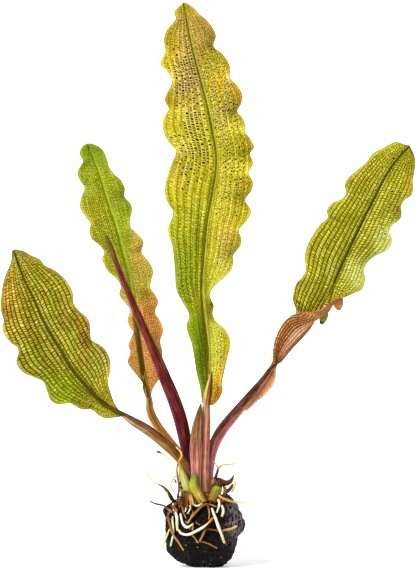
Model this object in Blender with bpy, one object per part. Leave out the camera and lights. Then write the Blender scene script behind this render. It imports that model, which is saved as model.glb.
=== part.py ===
"""A Madagascar lace plant, lifted whole with its roots and standing on its tuber.

The frame is in metres: +X to the right as seen from the front, +Y away from the front, +Z up.
The origin is the middle of the tuber's flat foot. All tables below are in millimetres.
"""

from bisect import bisect_right
from math import atan2, cos, hypot, pi, sin

import bmesh
import bpy
from mathutils import Vector, noise

MM = 0.001

# The outlines are given as seen from the front by an eye that looks down by this slope, so a
# point further back lies lower than it looks.
SIGHT_SLOPE = 0.06

# Tuber: a rounded block, 33 wide, 28 deep and 29 tall.
TUBER_MIDDLE = (-0.6, 0.0, 14.5)
TUBER_HALF_DEPTH = 13.6
TUBER_SQUARENESS = 2.3
TUBER_LUMP = 0.9
FOOT_BAND = 0.9
# The tuber's outline from the front, counter-clockwise from its right side.
TUBER_OUTLINE = [
    (16.4, 17.4), (14.9, 21.4), (12.6, 26.2), (9.8, 29.2), (6.6, 29.0), (-2.0, 27.8),
    (-8.0, 27.2), (-13.4, 26.6), (-17.4, 23.0), (-16.2, 19.0), (-16.2, 14.0), (-15.9, 9.0),
    (-15.1, 5.0), (-12.0, 2.6), (-8.0, 0.6), (-1.0, -0.7), (5.0, -0.7), (8.4, 0.5),
    (11.3, 3.4), (12.6, 8.0), (13.3, 11.8), (15.8, 15.0),
]
SEAT_HEIGHT = 25.5  # of the tuber's top where the crown sits
SEAT_REACH = (9.7, 12.2)  # sideways, and front to back

# Crown: the shoot base, turned about an upright line.
CROWN_PLACE = (-2.0, 0.8)
CROWN_PROFILE = [(6.0, 25.8), (7.0, 26.5), (7.1, 27.6), (6.6, 28.6), (5.6, 29.3)]
CROWN_SIDES = 20
CROWN_RIDGE = 0.05  # of the radius

# Blades
BLADE_THICK = 0.6
BLADE_SWELL = 0.07  # how far each half stands forward, as a share of its width
RUFFLE_POWER = 1.7  # a ruffle grows from the midrib to the margin by this power
RIB_HALF = 0.9  # half the width of a midrib
MIDRIB_STEPS = 400

# A blade's midrib is a list of (x, z, depth), from base to tip. A margin is a list of
# (x, z, rise), where the rise is how far the margin lies behind the midrib.
TALL_MIDRIB = [
    (0.4, 65.0, -0.6), (1.0, 72.0, 0.2), (1.3, 80.8, 1.4), (1.2, 88.8, 2.6), (-0.3, 100.8, 4.2),
    (-1.0, 110.8, 5.6), (-0.4, 122.8, 7.2), (1.2, 138.8, 9.2), (3.4, 150.8, 10.4),
    (4.8, 162.8, 11.2), (3.2, 174.8, 11.6), (0.6, 186.8, 11.2), (-2.6, 198.8, 10.0),
    (-5.6, 210.8, 7.8), (-8.4, 225.6, 4.4),
]
TALL_LEFT = [
    (-1.2, 65.6, 0.0), (-1.9, 71.6, -0.6), (-3.3, 77.6, -1.2), (-5.2, 88.8, -1.0),
    (-7.4, 96.0, 0.6), (-6.4, 100.8, 1.6), (-8.8, 105.6, 0.2), (-11.4, 110.8, -1.6),
    (-12.0, 118.8, -2.4), (-13.0, 128.0, -1.8), (-14.8, 134.8, -0.4), (-12.8, 142.0, 2.4),
    (-15.4, 146.8, 0.6), (-16.0, 151.8, -1.2), (-14.0, 159.6, -2.6), (-11.6, 166.8, -3.8),
    (-14.8, 170.4, -1.6), (-16.8, 175.6, 0.4), (-16.6, 179.6, 1.4), (-14.6, 183.2, 2.6),
    (-16.0, 187.6, 0.4), (-13.2, 193.6, -3.4), (-14.8, 198.0, -1.6), (-17.8, 201.6, 0.4),
    (-15.8, 206.0, 2.4), (-16.4, 210.8, 0.8), (-15.2, 214.8, -0.8), (-11.6, 218.8, -2.4),
    (-12.2, 222.0, -0.6), (-9.2, 225.4, 0.0),
]
TALL_RIGHT = [
    (2.1, 64.6, 0.0), (3.4, 64.9, -0.4), (5.4, 66.8, -1.0), (7.0, 70.8, -1.8), (6.6, 73.0, -2.2),
    (7.8, 78.8, -1.6), (8.9, 83.6, -1.0), (10.2, 90.0, -0.4), (8.2, 94.8, 0.4), (4.4, 98.2, 2.0),
    (3.0, 101.2, 2.8), (3.5, 104.4, 1.6), (1.8, 108.4, -2.2), (2.6, 111.2, -3.0),
    (5.8, 114.4, -2.4), (9.8, 117.8, -1.0), (11.4, 121.6, 0.6), (11.2, 124.6, 2.4),
    (14.0, 128.2, 1.2), (14.6, 131.0, 0.0), (13.6, 134.8, -2.6), (16.8, 138.8, -1.6),
    (18.4, 142.6, -0.2), (16.2, 146.8, 2.4), (18.6, 150.6, 1.0), (19.2, 153.8, -0.6),
    (17.4, 157.6, -3.0), (19.2, 161.6, -0.6), (18.0, 165.4, 2.4), (19.6, 168.2, 1.2),
    (18.0, 171.4, -0.8), (16.0, 173.8, -3.0), (16.0, 177.2, -1.6), (14.8, 180.0, 0.6),
    (13.0, 182.6, 2.6), (14.4, 185.4, 1.4), (14.8, 189.4, -0.4), (12.4, 193.2, -1.8),
    (10.0, 195.6, -3.0), (10.0, 200.2, -0.8), (7.2, 205.2, 1.4), (3.5, 208.4, 2.6),
    (4.4, 212.4, 0.6), (2.8, 216.0, -0.8), (0.4, 218.8, -1.6), (-2.4, 220.8, -2.4),
    (-3.6, 222.8, -0.8), (-7.0, 225.4, 0.0),
]

LEFT_MIDRIB = [
    (-32.8, 61.2, -12.4), (-35.6, 62.6, -13.4), (-39.2, 64.8, -14.4), (-43.0, 67.8, -15.6),
    (-49.2, 74.8, -17.6), (-52.6, 79.0, -18.6), (-56.8, 86.2, -19.8), (-60.8, 92.8, -20.6),
    (-64.4, 99.4, -21.0), (-68.0, 107.6, -21.0), (-71.8, 115.4, -20.4), (-76.0, 126.6, -18.6),
]
LEFT_LOWER = [
    (-34.0, 60.2, 0.0), (-36.8, 59.9, -0.4), (-40.0, 59.8, -0.8), (-42.2, 60.9, 0.4),
    (-45.2, 63.2, 1.8), (-48.8, 63.2, 0.6), (-51.4, 64.5, -0.6), (-54.0, 65.8, -1.8),
    (-57.6, 65.3, -1.0), (-60.2, 66.0, 0.2), (-62.0, 68.0, 1.2), (-63.0, 71.2, 2.6),
    (-64.4, 74.4, 1.8), (-67.7, 76.0, 0.4), (-71.0, 77.3, -0.8), (-73.6, 79.6, -1.8),
    (-74.8, 82.4, -2.2), (-74.0, 85.2, -3.2), (-74.4, 88.0, -2.2), (-77.2, 90.0, -0.6),
    (-79.6, 93.2, 0.8), (-80.4, 96.0, 1.6), (-80.0, 98.6, 2.4), (-81.0, 103.2, 0.8),
    (-80.8, 108.0, -0.6), (-80.2, 112.4, -1.4), (-78.8, 117.2, -1.8), (-76.8, 122.0, -1.0),
    (-76.6, 126.2, 0.0),
]
LEFT_UPPER = [
    (-33.0, 62.2, 0.0), (-34.2, 62.9, -0.2), (-36.0, 65.6, -1.0), (-37.4, 69.6, -1.8),
    (-38.6, 74.8, -3.0), (-37.6, 79.6, -1.6), (-37.7, 82.8, -0.2), (-39.2, 86.4, 1.0),
    (-42.0, 89.2, 2.0), (-45.0, 90.8, 3.0), (-45.6, 93.6, 1.6), (-45.6, 96.8, 0.0),
    (-46.8, 99.8, -1.2), (-50.2, 102.8, -2.2), (-52.2, 105.8, -3.0), (-52.2, 108.8, -1.6),
    (-53.4, 112.0, 0.2), (-56.0, 115.6, 1.4), (-59.6, 118.6, 1.8), (-63.6, 120.6, 2.0),
    (-65.6, 123.0, 1.0), (-69.0, 124.6, 0.2), (-71.8, 126.2, -0.2), (-75.2, 127.0, 0.0),
]

BACK_MIDRIB = [
    (-22.6, 67.6, 11.4), (-24.0, 72.8, 12.6), (-25.2, 79.6, 14.2), (-26.8, 90.8, 16.6),
    (-28.0, 100.8, 18.6), (-30.0, 114.8, 21.2), (-32.0, 123.6, 22.6), (-35.6, 136.4, 24.2),
    (-39.6, 148.8, 25.2), (-42.4, 158.0, 25.4), (-45.2, 164.8, 24.8), (-46.8, 169.6, 23.8),
]
BACK_LEFT = [
    (-23.9, 67.8, 0.0), (-24.8, 71.6, -0.8), (-24.9, 73.6, -1.6), (-26.8, 76.0, -1.0),
    (-29.6, 79.2, 0.2), (-31.0, 82.0, 1.0), (-30.0, 86.0, 2.0), (-30.8, 88.8, 0.6),
    (-28.6, 94.0, -1.6), (-30.0, 95.8, -1.0), (-31.2, 98.6, 0.4), (-30.2, 102.8, 2.0),
    (-32.0, 105.4, 0.8), (-34.4, 108.8, -0.6), (-33.8, 112.2, -1.8), (-35.6, 115.4, -0.8),
    (-38.8, 118.0, 0.4), (-40.4, 120.6, 1.0), (-41.4, 123.4, 1.6), (-40.6, 126.0, 2.4),
    (-42.4, 128.8, 1.0), (-45.6, 131.6, -0.4), (-46.4, 134.8, -1.2), (-46.0, 137.6, -2.2),
    (-48.4, 140.8, -0.8), (-50.2, 144.2, 0.6), (-50.0, 147.4, 1.4), (-48.4, 152.0, 2.6),
    (-50.4, 155.2, 1.2), (-51.2, 158.4, -0.4), (-48.8, 162.4, -2.2), (-50.4, 166.0, -1.0),
    (-49.2, 168.8, -0.2), (-47.4, 169.8, 0.0),
]
BACK_RIGHT = [
    (-21.6, 68.0, 0.0), (-21.2, 70.4, -0.2), (-19.6, 73.2, 0.6), (-18.0, 75.8, 1.4),
    (-17.2, 80.8, 0.4), (-17.2, 86.4, -0.8), (-18.0, 90.4, -2.0), (-16.8, 94.4, -0.6),
    (-18.0, 98.4, 0.8), (-20.0, 102.0, 2.0), (-18.8, 106.0, 0.6), (-20.0, 108.8, -0.8),
    (-22.0, 111.6, -2.2), (-21.6, 114.8, -1.2), (-20.8, 118.0, 0.2), (-22.4, 122.0, 1.2),
    (-24.4, 124.4, 1.8), (-25.6, 126.4, 2.6), (-24.8, 129.6, 1.2), (-25.6, 131.6, 0.0),
    (-27.2, 133.2, -1.0), (-30.0, 136.0, -2.2), (-30.2, 139.2, -1.2), (-29.4, 142.8, 0.2),
    (-30.0, 145.8, 1.2), (-32.4, 148.4, 2.4), (-32.4, 152.0, 0.8), (-34.0, 155.2, -0.6),
    (-36.4, 157.2, -1.8), (-38.4, 160.0, -1.0), (-39.6, 164.0, 0.2), (-41.2, 167.2, 0.6),
    (-43.6, 169.0, 0.2), (-46.2, 169.9, 0.0),
]

# The right leaf is turned over near its base. There its right half wraps forward over the left
# one and shows its bronze back, and the left half comes out below as a narrow wing.
RIGHT_MIDRIB = [
    (14.2, 63.8, -4.6), (18.4, 68.6, -5.8), (23.0, 74.4, -7.0), (26.9, 79.6, -8.0),
    (30.0, 82.8, -8.6), (34.1, 87.3, -9.6), (38.5, 91.9, -10.6), (42.3, 96.5, -11.6),
    (45.2, 101.8, -12.6), (48.8, 107.8, -13.8), (52.0, 115.6, -15.2), (56.0, 124.8, -16.8),
    (60.4, 134.0, -18.4), (64.6, 142.6, -19.6), (68.8, 150.8, -20.4), (73.0, 158.4, -20.8),
    (77.2, 164.0, -20.8), (81.0, 167.8, -20.4),
]
RIGHT_UPPER = [
    (15.6, 62.6, 0.2), (17.0, 62.9, 0.2), (19.6, 65.2, 0.0), (23.6, 68.6, -0.6),
    (26.8, 72.0, -1.0), (28.1, 75.4, -0.4), (28.1, 78.4, 1.4), (29.4, 84.6, 2.8),
    (30.6, 91.0, 4.2), (33.4, 97.4, 4.6), (36.0, 101.4, 4.0), (36.2, 103.4, 3.0),
    (35.2, 106.2, 0.8), (35.0, 109.4, -1.0), (36.2, 113.2, -1.8), (38.2, 115.4, -2.2),
    (40.0, 118.4, -3.2), (39.6, 124.0, -1.6), (40.8, 128.8, 0.0), (43.4, 133.6, 1.4),
    (46.0, 137.2, 2.0), (48.6, 139.6, 3.0), (48.4, 142.6, 1.4), (50.6, 145.4, -0.6),
    (54.4, 147.0, -1.8), (56.0, 149.4, -3.0), (55.4, 152.6, -1.2), (56.8, 155.2, 0.4),
    (60.4, 158.4, 1.4), (64.0, 161.4, 2.2), (66.4, 164.8, 0.8), (70.0, 166.8, -0.4),
    (73.6, 168.8, -0.8), (76.0, 169.6, -0.6), (78.8, 168.6, -0.2), (80.7, 168.3, 0.0),
]
RIGHT_LOWER = [
    (13.0, 64.9, 0.2), (17.3, 69.7, -0.2), (21.9, 75.4, -0.8), (25.4, 80.0, -2.0),
    (26.8, 82.6, -3.0), (27.0, 86.0, -4.0), (27.6, 90.8, -4.8), (29.6, 95.6, -5.4),
    (32.4, 99.2, -5.8), (36.2, 101.4, -6.2), (41.2, 102.0, -6.6), (46.0, 102.8, -6.8),
    (49.0, 105.2, -6.0), (51.8, 107.2, -4.6), (56.0, 108.2, -2.4), (58.6, 109.2, -0.8),
    (62.4, 111.2, 0.4), (63.7, 115.2, 1.4), (63.2, 118.4, 2.0), (64.0, 121.2, 2.8),
    (67.2, 124.0, 1.8), (70.4, 125.6, 0.6), (73.0, 127.2, -0.4), (74.1, 130.4, -1.2),
    (73.0, 133.6, -2.4), (74.0, 136.4, -1.4), (76.8, 138.4, 0.2), (78.0, 140.8, 1.2),
    (77.7, 144.0, 2.4), (79.2, 146.6, 1.2), (81.8, 148.4, 0.2), (82.5, 151.2, -0.6),
    (82.2, 153.6, -1.8), (82.8, 157.0, -0.8), (83.2, 160.8, 0.0), (82.9, 164.2, 0.2),
    (81.4, 167.5, 0.0),
]

# Where the right half turns over, its middle bows down and out: (station, reach, (x, z, depth)).
RIGHT_BOW = (0.405, 0.105, (4.2, -2.6, -0.6))

# Stalks and the rolled leaf: (x, z, depth, radius), from the top down to the crown.
TALL_STALK = [
    (0.4, 64.5, -0.6, 1.5), (0.3, 58.0, -0.9, 1.8), (0.0, 50.0, -1.2, 1.9),
    (-0.4, 41.0, -1.6, 1.8), (-0.4, 35.0, -1.8, 1.9), (-0.2, 29.8, -2.0, 2.2),
]
LEFT_STALK = [
    (-32.3, 60.9, -12.2, 1.0), (-28.8, 58.5, -11.2, 1.6), (-24.0, 55.6, -9.8, 1.9),
    (-18.6, 51.6, -8.2, 1.95), (-13.2, 46.9, -6.2, 2.0), (-9.4, 42.8, -4.6, 1.95),
    (-7.0, 38.4, -3.6, 1.8), (-5.7, 30.0, -2.4, 1.6),
]
BACK_STALK = [
    (-22.5, 67.1, 11.2, 1.2), (-21.8, 61.6, 10.2, 1.6), (-18.8, 55.8, 9.2, 1.7),
    (-14.8, 50.6, 8.2, 1.7), (-10.4, 45.0, 7.0, 1.7), (-6.6, 39.0, 6.0, 1.6),
    (-4.0, 30.1, 4.8, 1.4),
]
RIGHT_STALK = [
    (13.6, 63.2, -4.5, 1.9), (10.2, 59.2, -3.4, 2.0), (6.4, 54.2, -1.6, 2.1),
    (3.5, 48.4, 0.6, 2.0), (2.0, 42.0, 2.2, 1.8), (1.0, 30.0, 3.2, 1.6),
]
ROLLED_LEAF = [
    (-39.6, 132.4, 9.6, 0.6), (-38.1, 128.6, 9.2, 0.9), (-36.0, 122.8, 8.6, 1.1),
    (-33.2, 115.6, 7.8, 1.25), (-30.0, 108.0, 7.0, 1.4), (-27.2, 101.2, 6.3, 1.6),
    (-23.6, 93.2, 5.4, 1.8), (-19.6, 84.0, 4.4, 2.1), (-16.0, 75.2, 3.5, 2.35),
    (-12.8, 67.6, 2.7, 2.5), (-10.1, 59.6, 2.0, 2.6), (-8.4, 52.4, 1.5, 2.5),
    (-7.2, 44.8, 1.2, 2.1), (-6.5, 38.0, 1.2, 1.8), (-6.0, 30.0, 1.2, 1.5),
]

# Tongues are flat pieces around the crown: (midrib, left margin, right margin, thickness).
SHEATH_LEAF = (
    [(-3.2, 31.0, -5.0), (-3.5, 38.0, -4.5), (-3.5, 48.0, -4.0), (-2.7, 57.0, -3.5),
     (-1.6, 65.4, -3.0)],
    [(-4.6, 31.2, 0.2), (-5.2, 38.4, 0.3), (-6.0, 48.0, 0.8), (-5.0, 57.4, 0.6),
     (-1.9, 65.6, 0.0)],
    [(-2.0, 30.8, 0.0), (-1.9, 38.0, 0.0), (-1.3, 48.0, 0.2), (-1.0, 57.0, 0.2),
     (-1.3, 65.6, 0.0)],
    1.0,
)
PALE_STUB = (
    [(-7.6, 28.6, -7.0), (-8.2, 33.6, -7.2), (-9.4, 38.0, -7.2), (-10.8, 41.4, -6.9)],
    [(-10.0, 28.8, 2.0), (-11.2, 33.4, 2.0), (-11.4, 38.0, 1.2), (-11.2, 41.6, 0.0)],
    [(-5.6, 28.4, 0.2), (-5.8, 33.0, 0.2), (-7.2, 37.4, 0.2), (-10.4, 41.6, 0.0)],
    1.0,
)
GREEN_STUB = (
    [(-1.6, 26.2, -8.0), (-3.0, 30.4, -7.8), (-3.9, 34.0, -7.4), (-4.1, 37.4, -6.9)],
    [(-4.6, 26.8, 0.6), (-4.9, 30.6, 0.2), (-5.0, 34.6, 0.1), (-4.6, 37.6, 0.0)],
    [(1.3, 26.0, 0.6), (-0.5, 29.6, 0.3), (-2.4, 33.6, 0.2), (-3.5, 37.5, 0.0)],
    1.2,
)
DARK_TIPPED_STUB = (
    [(3.2, 26.4, -7.4), (4.0, 29.4, -7.0), (5.3, 32.2, -6.4), (6.1, 34.0, -5.9)],
    [(1.8, 26.5, 0.2), (2.3, 29.6, 0.2), (3.8, 32.6, 0.2), (5.3, 34.3, 0.0)],
    [(4.8, 26.3, 0.6), (5.7, 29.0, 0.5), (7.0, 31.8, 0.4), (6.9, 33.8, 0.0)],
    1.3,
)
DRY_SCALE_LEFT = (
    [(-7.6, 28.0, -9.6), (-7.8, 26.0, -10.6), (-7.4, 23.6, -11.6)],
    [(-10.0, 27.6, 0.4), (-9.8, 25.6, 0.2), (-8.6, 23.8, 0.0)],
    [(-5.4, 28.2, 0.4), (-5.6, 26.0, 0.2), (-6.4, 23.6, 0.0)],
    0.5,
)
DRY_SCALE_RIGHT = (
    [(3.0, 35.0, -2.6), (5.6, 34.9, -3.0), (8.4, 33.8, -3.2), (10.4, 34.6, -3.0),
     (11.6, 36.6, -2.6)],
    [(3.0, 35.6, 0.0), (5.8, 35.6, 0.0), (8.4, 34.6, 0.0), (10.0, 35.2, 0.0),
     (11.4, 36.8, 0.0)],
    [(3.0, 34.4, 0.4), (5.4, 34.2, 0.6), (8.4, 33.0, 0.6), (10.8, 34.0, 0.4),
     (11.9, 36.5, 0.0)],
    0.5,
)
DRY_SCALE_BACK = (
    [(7.8, 29.6, -4.6), (9.2, 30.6, -4.2), (10.4, 32.0, -3.6), (10.9, 33.2, -3.2)],
    [(7.2, 30.2, 0.0), (8.8, 31.0, 0.0), (10.0, 32.2, 0.0), (10.7, 33.3, 0.0)],
    [(8.4, 29.2, 0.2), (9.8, 30.0, 0.3), (10.9, 31.6, 0.2), (11.2, 33.1, 0.0)],
    0.5,
)

# Roots that lie on the front of the tuber: radius, then (x, z, lift), where the lift is how far
# the root stands off the tuber. Above the tuber's top edge a negative lift goes back to the crown.
FRONT_ROOTS = {
    "white_root_1": (0.6, [(-12.2, 26.2, -1.6), (-11.2, 22.4, 0.4), (-10.9, 18.6, 0.3),
                           (-10.8, 15.2, 0.3)]),
    "white_root_2": (0.55, [(-9.8, 22.6, 0.3), (-8.8, 18.8, 0.3), (-6.8, 16.2, 0.3),
                            (-4.6, 17.6, 0.5)]),
    "white_root_3": (0.6, [(-9.6, 14.4, 0.3), (-7.4, 13.2, 0.3), (-3.2, 14.6, 0.6),
                           (0.8, 17.4, 1.6), (3.2, 19.6, 1.4)]),
    "white_root_4": (0.6, [(2.6, 24.0, 0.4), (4.8, 18.4, 2.4), (7.8, 9.6, 0.6)]),
    "white_root_5": (0.5, [(5.6, 26.8, -0.8), (5.4, 24.4, 0.3), (4.6, 22.2, 0.3)]),
    "white_root_6": (0.5, [(6.9, 25.2, 0.3), (7.5, 22.6, 0.3), (6.9, 20.4, 0.3)]),
    "white_root_7": (0.42, [(-12.6, 20.0, 0.3), (-12.6, 15.6, 0.3), (-12.8, 11.8, 0.3),
                            (-13.8, 8.4, 0.3)]),
    "white_root_8": (0.42, [(-5.0, 26.2, -1.0), (-3.6, 24.8, 0.3), (-1.8, 25.1, 0.3)]),
    "brown_root_1": (0.5, [(0.4, 25.8, -0.4), (-1.6, 24.0, 0.4), (-4.4, 21.6, 0.4),
                           (-7.0, 18.2, 1.6)]),
    "brown_root_2": (0.36, [(1.3, 24.4, 0.3), (1.9, 22.2, 0.3), (1.4, 19.6, 0.3)]),
    "brown_root_3": (0.4, [(0.7, 15.9, 0.3), (-0.7, 13.0, 0.3), (-2.0, 10.6, 0.3)]),
    "brown_root_4": (0.38, [(-5.2, 12.2, 0.3), (-3.2, 10.2, 0.3)]),
    "brown_root_5": (0.32, [(-1.2, 10.4, 0.3), (1.2, 9.8, 0.3), (4.6, 8.4, 0.3)]),
    "brown_root_6": (0.42, [(-14.6, 20.6, 1.8), (-13.8, 16.4, 2.0), (-12.0, 12.2, 1.9),
                            (-8.4, 6.8, 0.3)]),
    "orange_root_1": (0.48, [(1.8, 15.6, 0.3), (5.6, 14.9, 0.3), (9.4, 15.4, 0.3),
                             (12.4, 16.4, 0.4)]),
}
# Roots that lie on the back of the tuber, given in the same way.
BACK_ROOTS = {
    "white_root_9": (0.58, [(-8.6, 26.4, -1.6), (-10.4, 21.6, 0.3), (-9.4, 14.8, 0.3),
                            (-6.2, 10.2, 0.3)]),
    "white_root_10": (0.55, [(-2.6, 26.6, -1.6), (-1.4, 21.6, 0.3), (1.4, 15.6, 0.3),
                             (0.8, 10.4, 0.3)]),
    "white_root_11": (0.5, [(5.6, 26.4, -0.4), (8.0, 21.8, 0.4), (9.2, 16.0, 0.4),
                            (8.4, 11.6, 0.4)]),
    "brown_root_9": (0.42, [(-5.6, 26.6, -1.2), (-6.2, 20.4, 0.3), (-3.4, 14.4, 0.3),
                            (-2.6, 7.0, 0.3)]),
    "brown_root_10": (0.4, [(1.6, 26.2, -0.6), (4.4, 21.2, 0.4), (5.6, 15.2, 0.4),
                            (4.6, 8.4, 0.4)]),
}
# Roots that stand free: radius, then (x, z, depth).
FREE_ROOTS = {
    "orange_root_2": (0.34, [(-11.8, 48.4, -8.6), (-9.4, 46.8, -8.6), (-9.2, 44.4, -8.8),
                             (-10.6, 42.2, -9.0), (-11.2, 39.4, -9.2), (-10.7, 34.8, -9.4),
                             (-10.4, 30.4, -9.6), (-11.2, 27.4, -9.8)]),
    "pale_root_1": (0.42, [(-15.6, 17.0, -6.4), (-16.2, 13.4, -6.6), (-17.6, 8.2, -6.8)]),
    "brown_root_7": (0.38, [(-22.0, 26.4, -6.4), (-18.2, 24.9, -7.0), (-14.9, 24.0, -8.2),
                            (-13.2, 22.8, -11.0)]),
    "yellow_root_1": (0.42, [(5.8, 28.4, -9.2), (8.0, 27.0, -10.0), (12.0, 26.2, -9.4),
                             (18.8, 26.0, -8.6)]),
    "brown_root_8": (0.38, [(4.2, 36.0, -4.4), (5.4, 38.2, -4.6), (5.0, 40.0, -4.6),
                            (3.8, 42.4, -4.4)]),
    "hair_root_1": (0.34, [(-23.6, 38.8, -4.0), (-21.8, 35.6, -4.4), (-17.6, 32.6, -5.0),
                           (-15.0, 29.6, -5.6), (-12.9, 27.2, -6.2)]),
    "hair_root_2": (0.28, [(-19.2, 46.4, -6.6), (-17.4, 45.8, -7.2), (-14.8, 44.0, -7.8),
                           (-11.8, 41.4, -8.2)]),
    "hair_root_3": (0.3, [(-12.2, 36.8, -6.8), (-13.4, 34.8, -6.8), (-13.4, 32.2, -6.8),
                          (-11.6, 30.2, -7.0)]),
    "hair_root_4": (0.26, [(6.2, 39.8, -4.6), (8.0, 40.7, -4.6), (11.2, 41.2, -4.4),
                           (12.6, 42.8, -4.2)]),
    "hair_root_5": (0.26, [(11.8, 35.2, -4.2), (12.0, 33.0, -4.6), (10.8, 30.0, -6.2)]),
}
ROOT_SEGMENTS = 5
STALK_SEGMENTS = 10
ROLLED_SEGMENTS = 16

# Colour, roughness
COLOURS = {
    "tall_leaf": ((0.42, 0.43, 0.03), 0.45),
    "left_leaf": ((0.38, 0.36, 0.03), 0.45),
    "back_leaf": ((0.47, 0.33, 0.04), 0.45),
    "right_leaf": ((0.36, 0.38, 0.03), 0.45),
    "brown_stalk": ((0.28, 0.12, 0.05), 0.45),
    "pink_stalk": ((0.42, 0.17, 0.12), 0.45),
    "gold_stalk": ((0.5, 0.26, 0.06), 0.45),
    "maroon": ((0.14, 0.02, 0.025), 0.4),
    "sheath": ((0.3, 0.16, 0.07), 0.5),
    "pale_sheath": ((0.55, 0.52, 0.2), 0.5),
    "green_sheath": ((0.25, 0.32, 0.02), 0.5),
    "dry_scale": ((0.14, 0.06, 0.03), 0.7),
    "crown": ((0.2, 0.1, 0.04), 0.7),
    "tuber": ((0.02, 0.016, 0.02), 0.75),
    "white_root": ((0.85, 0.82, 0.66), 0.5),
    "brown_root": ((0.33, 0.15, 0.05), 0.6),
    "orange_root": ((0.6, 0.33, 0.1), 0.55),
    "pale_root": ((0.75, 0.68, 0.4), 0.5),
    "yellow_root": ((0.72, 0.56, 0.22), 0.5),
    "hair_root": ((0.76, 0.72, 0.45), 0.5),
}


def clear_scene():
    """Start from an empty file."""
    for thing in list(bpy.data.objects):
        bpy.data.objects.remove(thing, do_unlink=True)


def material(name):
    """The material of this name, made once."""
    if name in bpy.data.materials:
        return bpy.data.materials[name]
    colour, roughness = COLOURS[name]
    made = bpy.data.materials.new(name)
    made.use_nodes = True
    shader = made.node_tree.nodes["Principled BSDF"]
    shader.inputs["Base Color"].default_value = (*colour, 1.0)
    shader.inputs["Roughness"].default_value = roughness
    shader.inputs["Metallic"].default_value = 0.0
    made.diffuse_color = (*colour, 1.0)
    return made


def add_mesh(name, bm, finish):
    """Turn a bmesh in millimetres, in the front view's terms, into an object in metres."""
    for vertex in bm.verts:
        vertex.co = placed(vertex.co)
    mesh = bpy.data.meshes.new(name)
    bm.to_mesh(mesh)
    bm.free()
    mesh.shade_smooth()
    mesh.materials.append(material(finish))
    piece = bpy.data.objects.new(name, mesh)
    bpy.context.collection.objects.link(piece)
    return piece


def placed(point):
    """A point in millimetres as seen from the front, put where it is in metres."""
    return Vector((point.x, point.y, point.z - point.y * SIGHT_SLOPE)) * MM


def spaced(points):
    """How far along its run each point lies, from 0 to 1."""
    runs = [0.0]
    for here, after in zip(points, points[1:]):
        runs.append(runs[-1] + (after - here).length)
    return [run / runs[-1] for run in runs]


def read(points, stations, u):
    """A smooth curve through the points, read at station u."""
    i = min(max(bisect_right(stations, u) - 1, 0), len(points) - 2)
    before = max(i - 1, 0)
    after = min(i + 2, len(points) - 1)
    width = stations[i + 1] - stations[i]
    t = (u - stations[i]) / width
    lead = (points[i + 1] - points[before]) * (width / (stations[i + 1] - stations[before]))
    trail = (points[after] - points[i]) * (width / (stations[after] - stations[i]))
    return (
        points[i] * ((1 + 2 * t) * (1 - t) ** 2)
        + lead * (t * (1 - t) ** 2)
        + points[i + 1] * (t * t * (3 - 2 * t))
        - trail * (t * t * (1 - t))
    )


def vectors(rows):
    """Rows of (x, z, depth) as vectors."""
    return [Vector((x, depth, z)) for x, z, depth in rows]


def beside(margin, midrib, stations):
    """The station of the midrib that each point of a margin lies beside, always further on."""
    steps = [k / MIDRIB_STEPS for k in range(MIDRIB_STEPS + 1)]
    rib = [read(midrib, stations, u) for u in steps]
    least = 2.0 / MIDRIB_STEPS
    found = [0.0]
    for k, point in enumerate(margin[1:-1], start=1):
        nearest = min(
            range(len(steps)),
            key=lambda n: hypot(rib[n].x - point.x, rib[n].z - point.z),
        )
        most = 1.0 - least * (len(margin) - 1 - k)
        found.append(min(max(steps[nearest], found[-1] + least), most))
    found.append(1.0)
    return found


class Blade:
    """A leaf's middle surface, between a midrib and two margins."""

    def __init__(self, midrib, left, right, bow=None):
        self.midrib = vectors(midrib)
        self.stations = spaced(self.midrib)
        self.bow = bow
        self.sides = []
        for rows in (left, right):
            margin = vectors(rows)
            self.sides.append((margin, beside(margin, self.midrib, self.stations)))

    def half_width(self, u, side):
        """How wide the left (0) or right (1) half is at station u."""
        rib = read(self.midrib, self.stations, u)
        edge = read(*self.sides[side], u)
        return hypot(edge.x - rib.x, edge.z - rib.z)

    def point(self, u, v):
        """The point at station u, and at v from -1 at the left margin to 1 at the right one."""
        rib = read(self.midrib, self.stations, u)
        edge = read(*self.sides[1 if v > 0 else 0], u)
        across = abs(v)
        width = hypot(edge.x - rib.x, edge.z - rib.z)
        swell = BLADE_SWELL * width * sin(pi * across)
        spot = Vector((
            rib.x + (edge.x - rib.x) * across,
            rib.y + edge.y * across ** RUFFLE_POWER - swell,
            rib.z + (edge.z - rib.z) * across,
        ))
        if self.bow and v > 0:
            station, reach, (x, z, depth) = self.bow
            near = max(1.0 - ((u - station) / reach) ** 2, 0.0)
            spot += Vector((x, depth, z)) * near ** 2 * sin(pi * across)
        return spot


def across_at(column, rib_share):
    """Where a column of a blade's grid lies: -1, 0 and 1 are margins and midrib."""
    steps = [0.0, rib_share, 0.5 + 0.5 * rib_share, 1.0]
    third = abs(column) * 3
    low = min(int(third + 1e-6), 2)
    place = steps[low] + (steps[low + 1] - steps[low]) * (third - low)
    return place if column > 0 else -place


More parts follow.
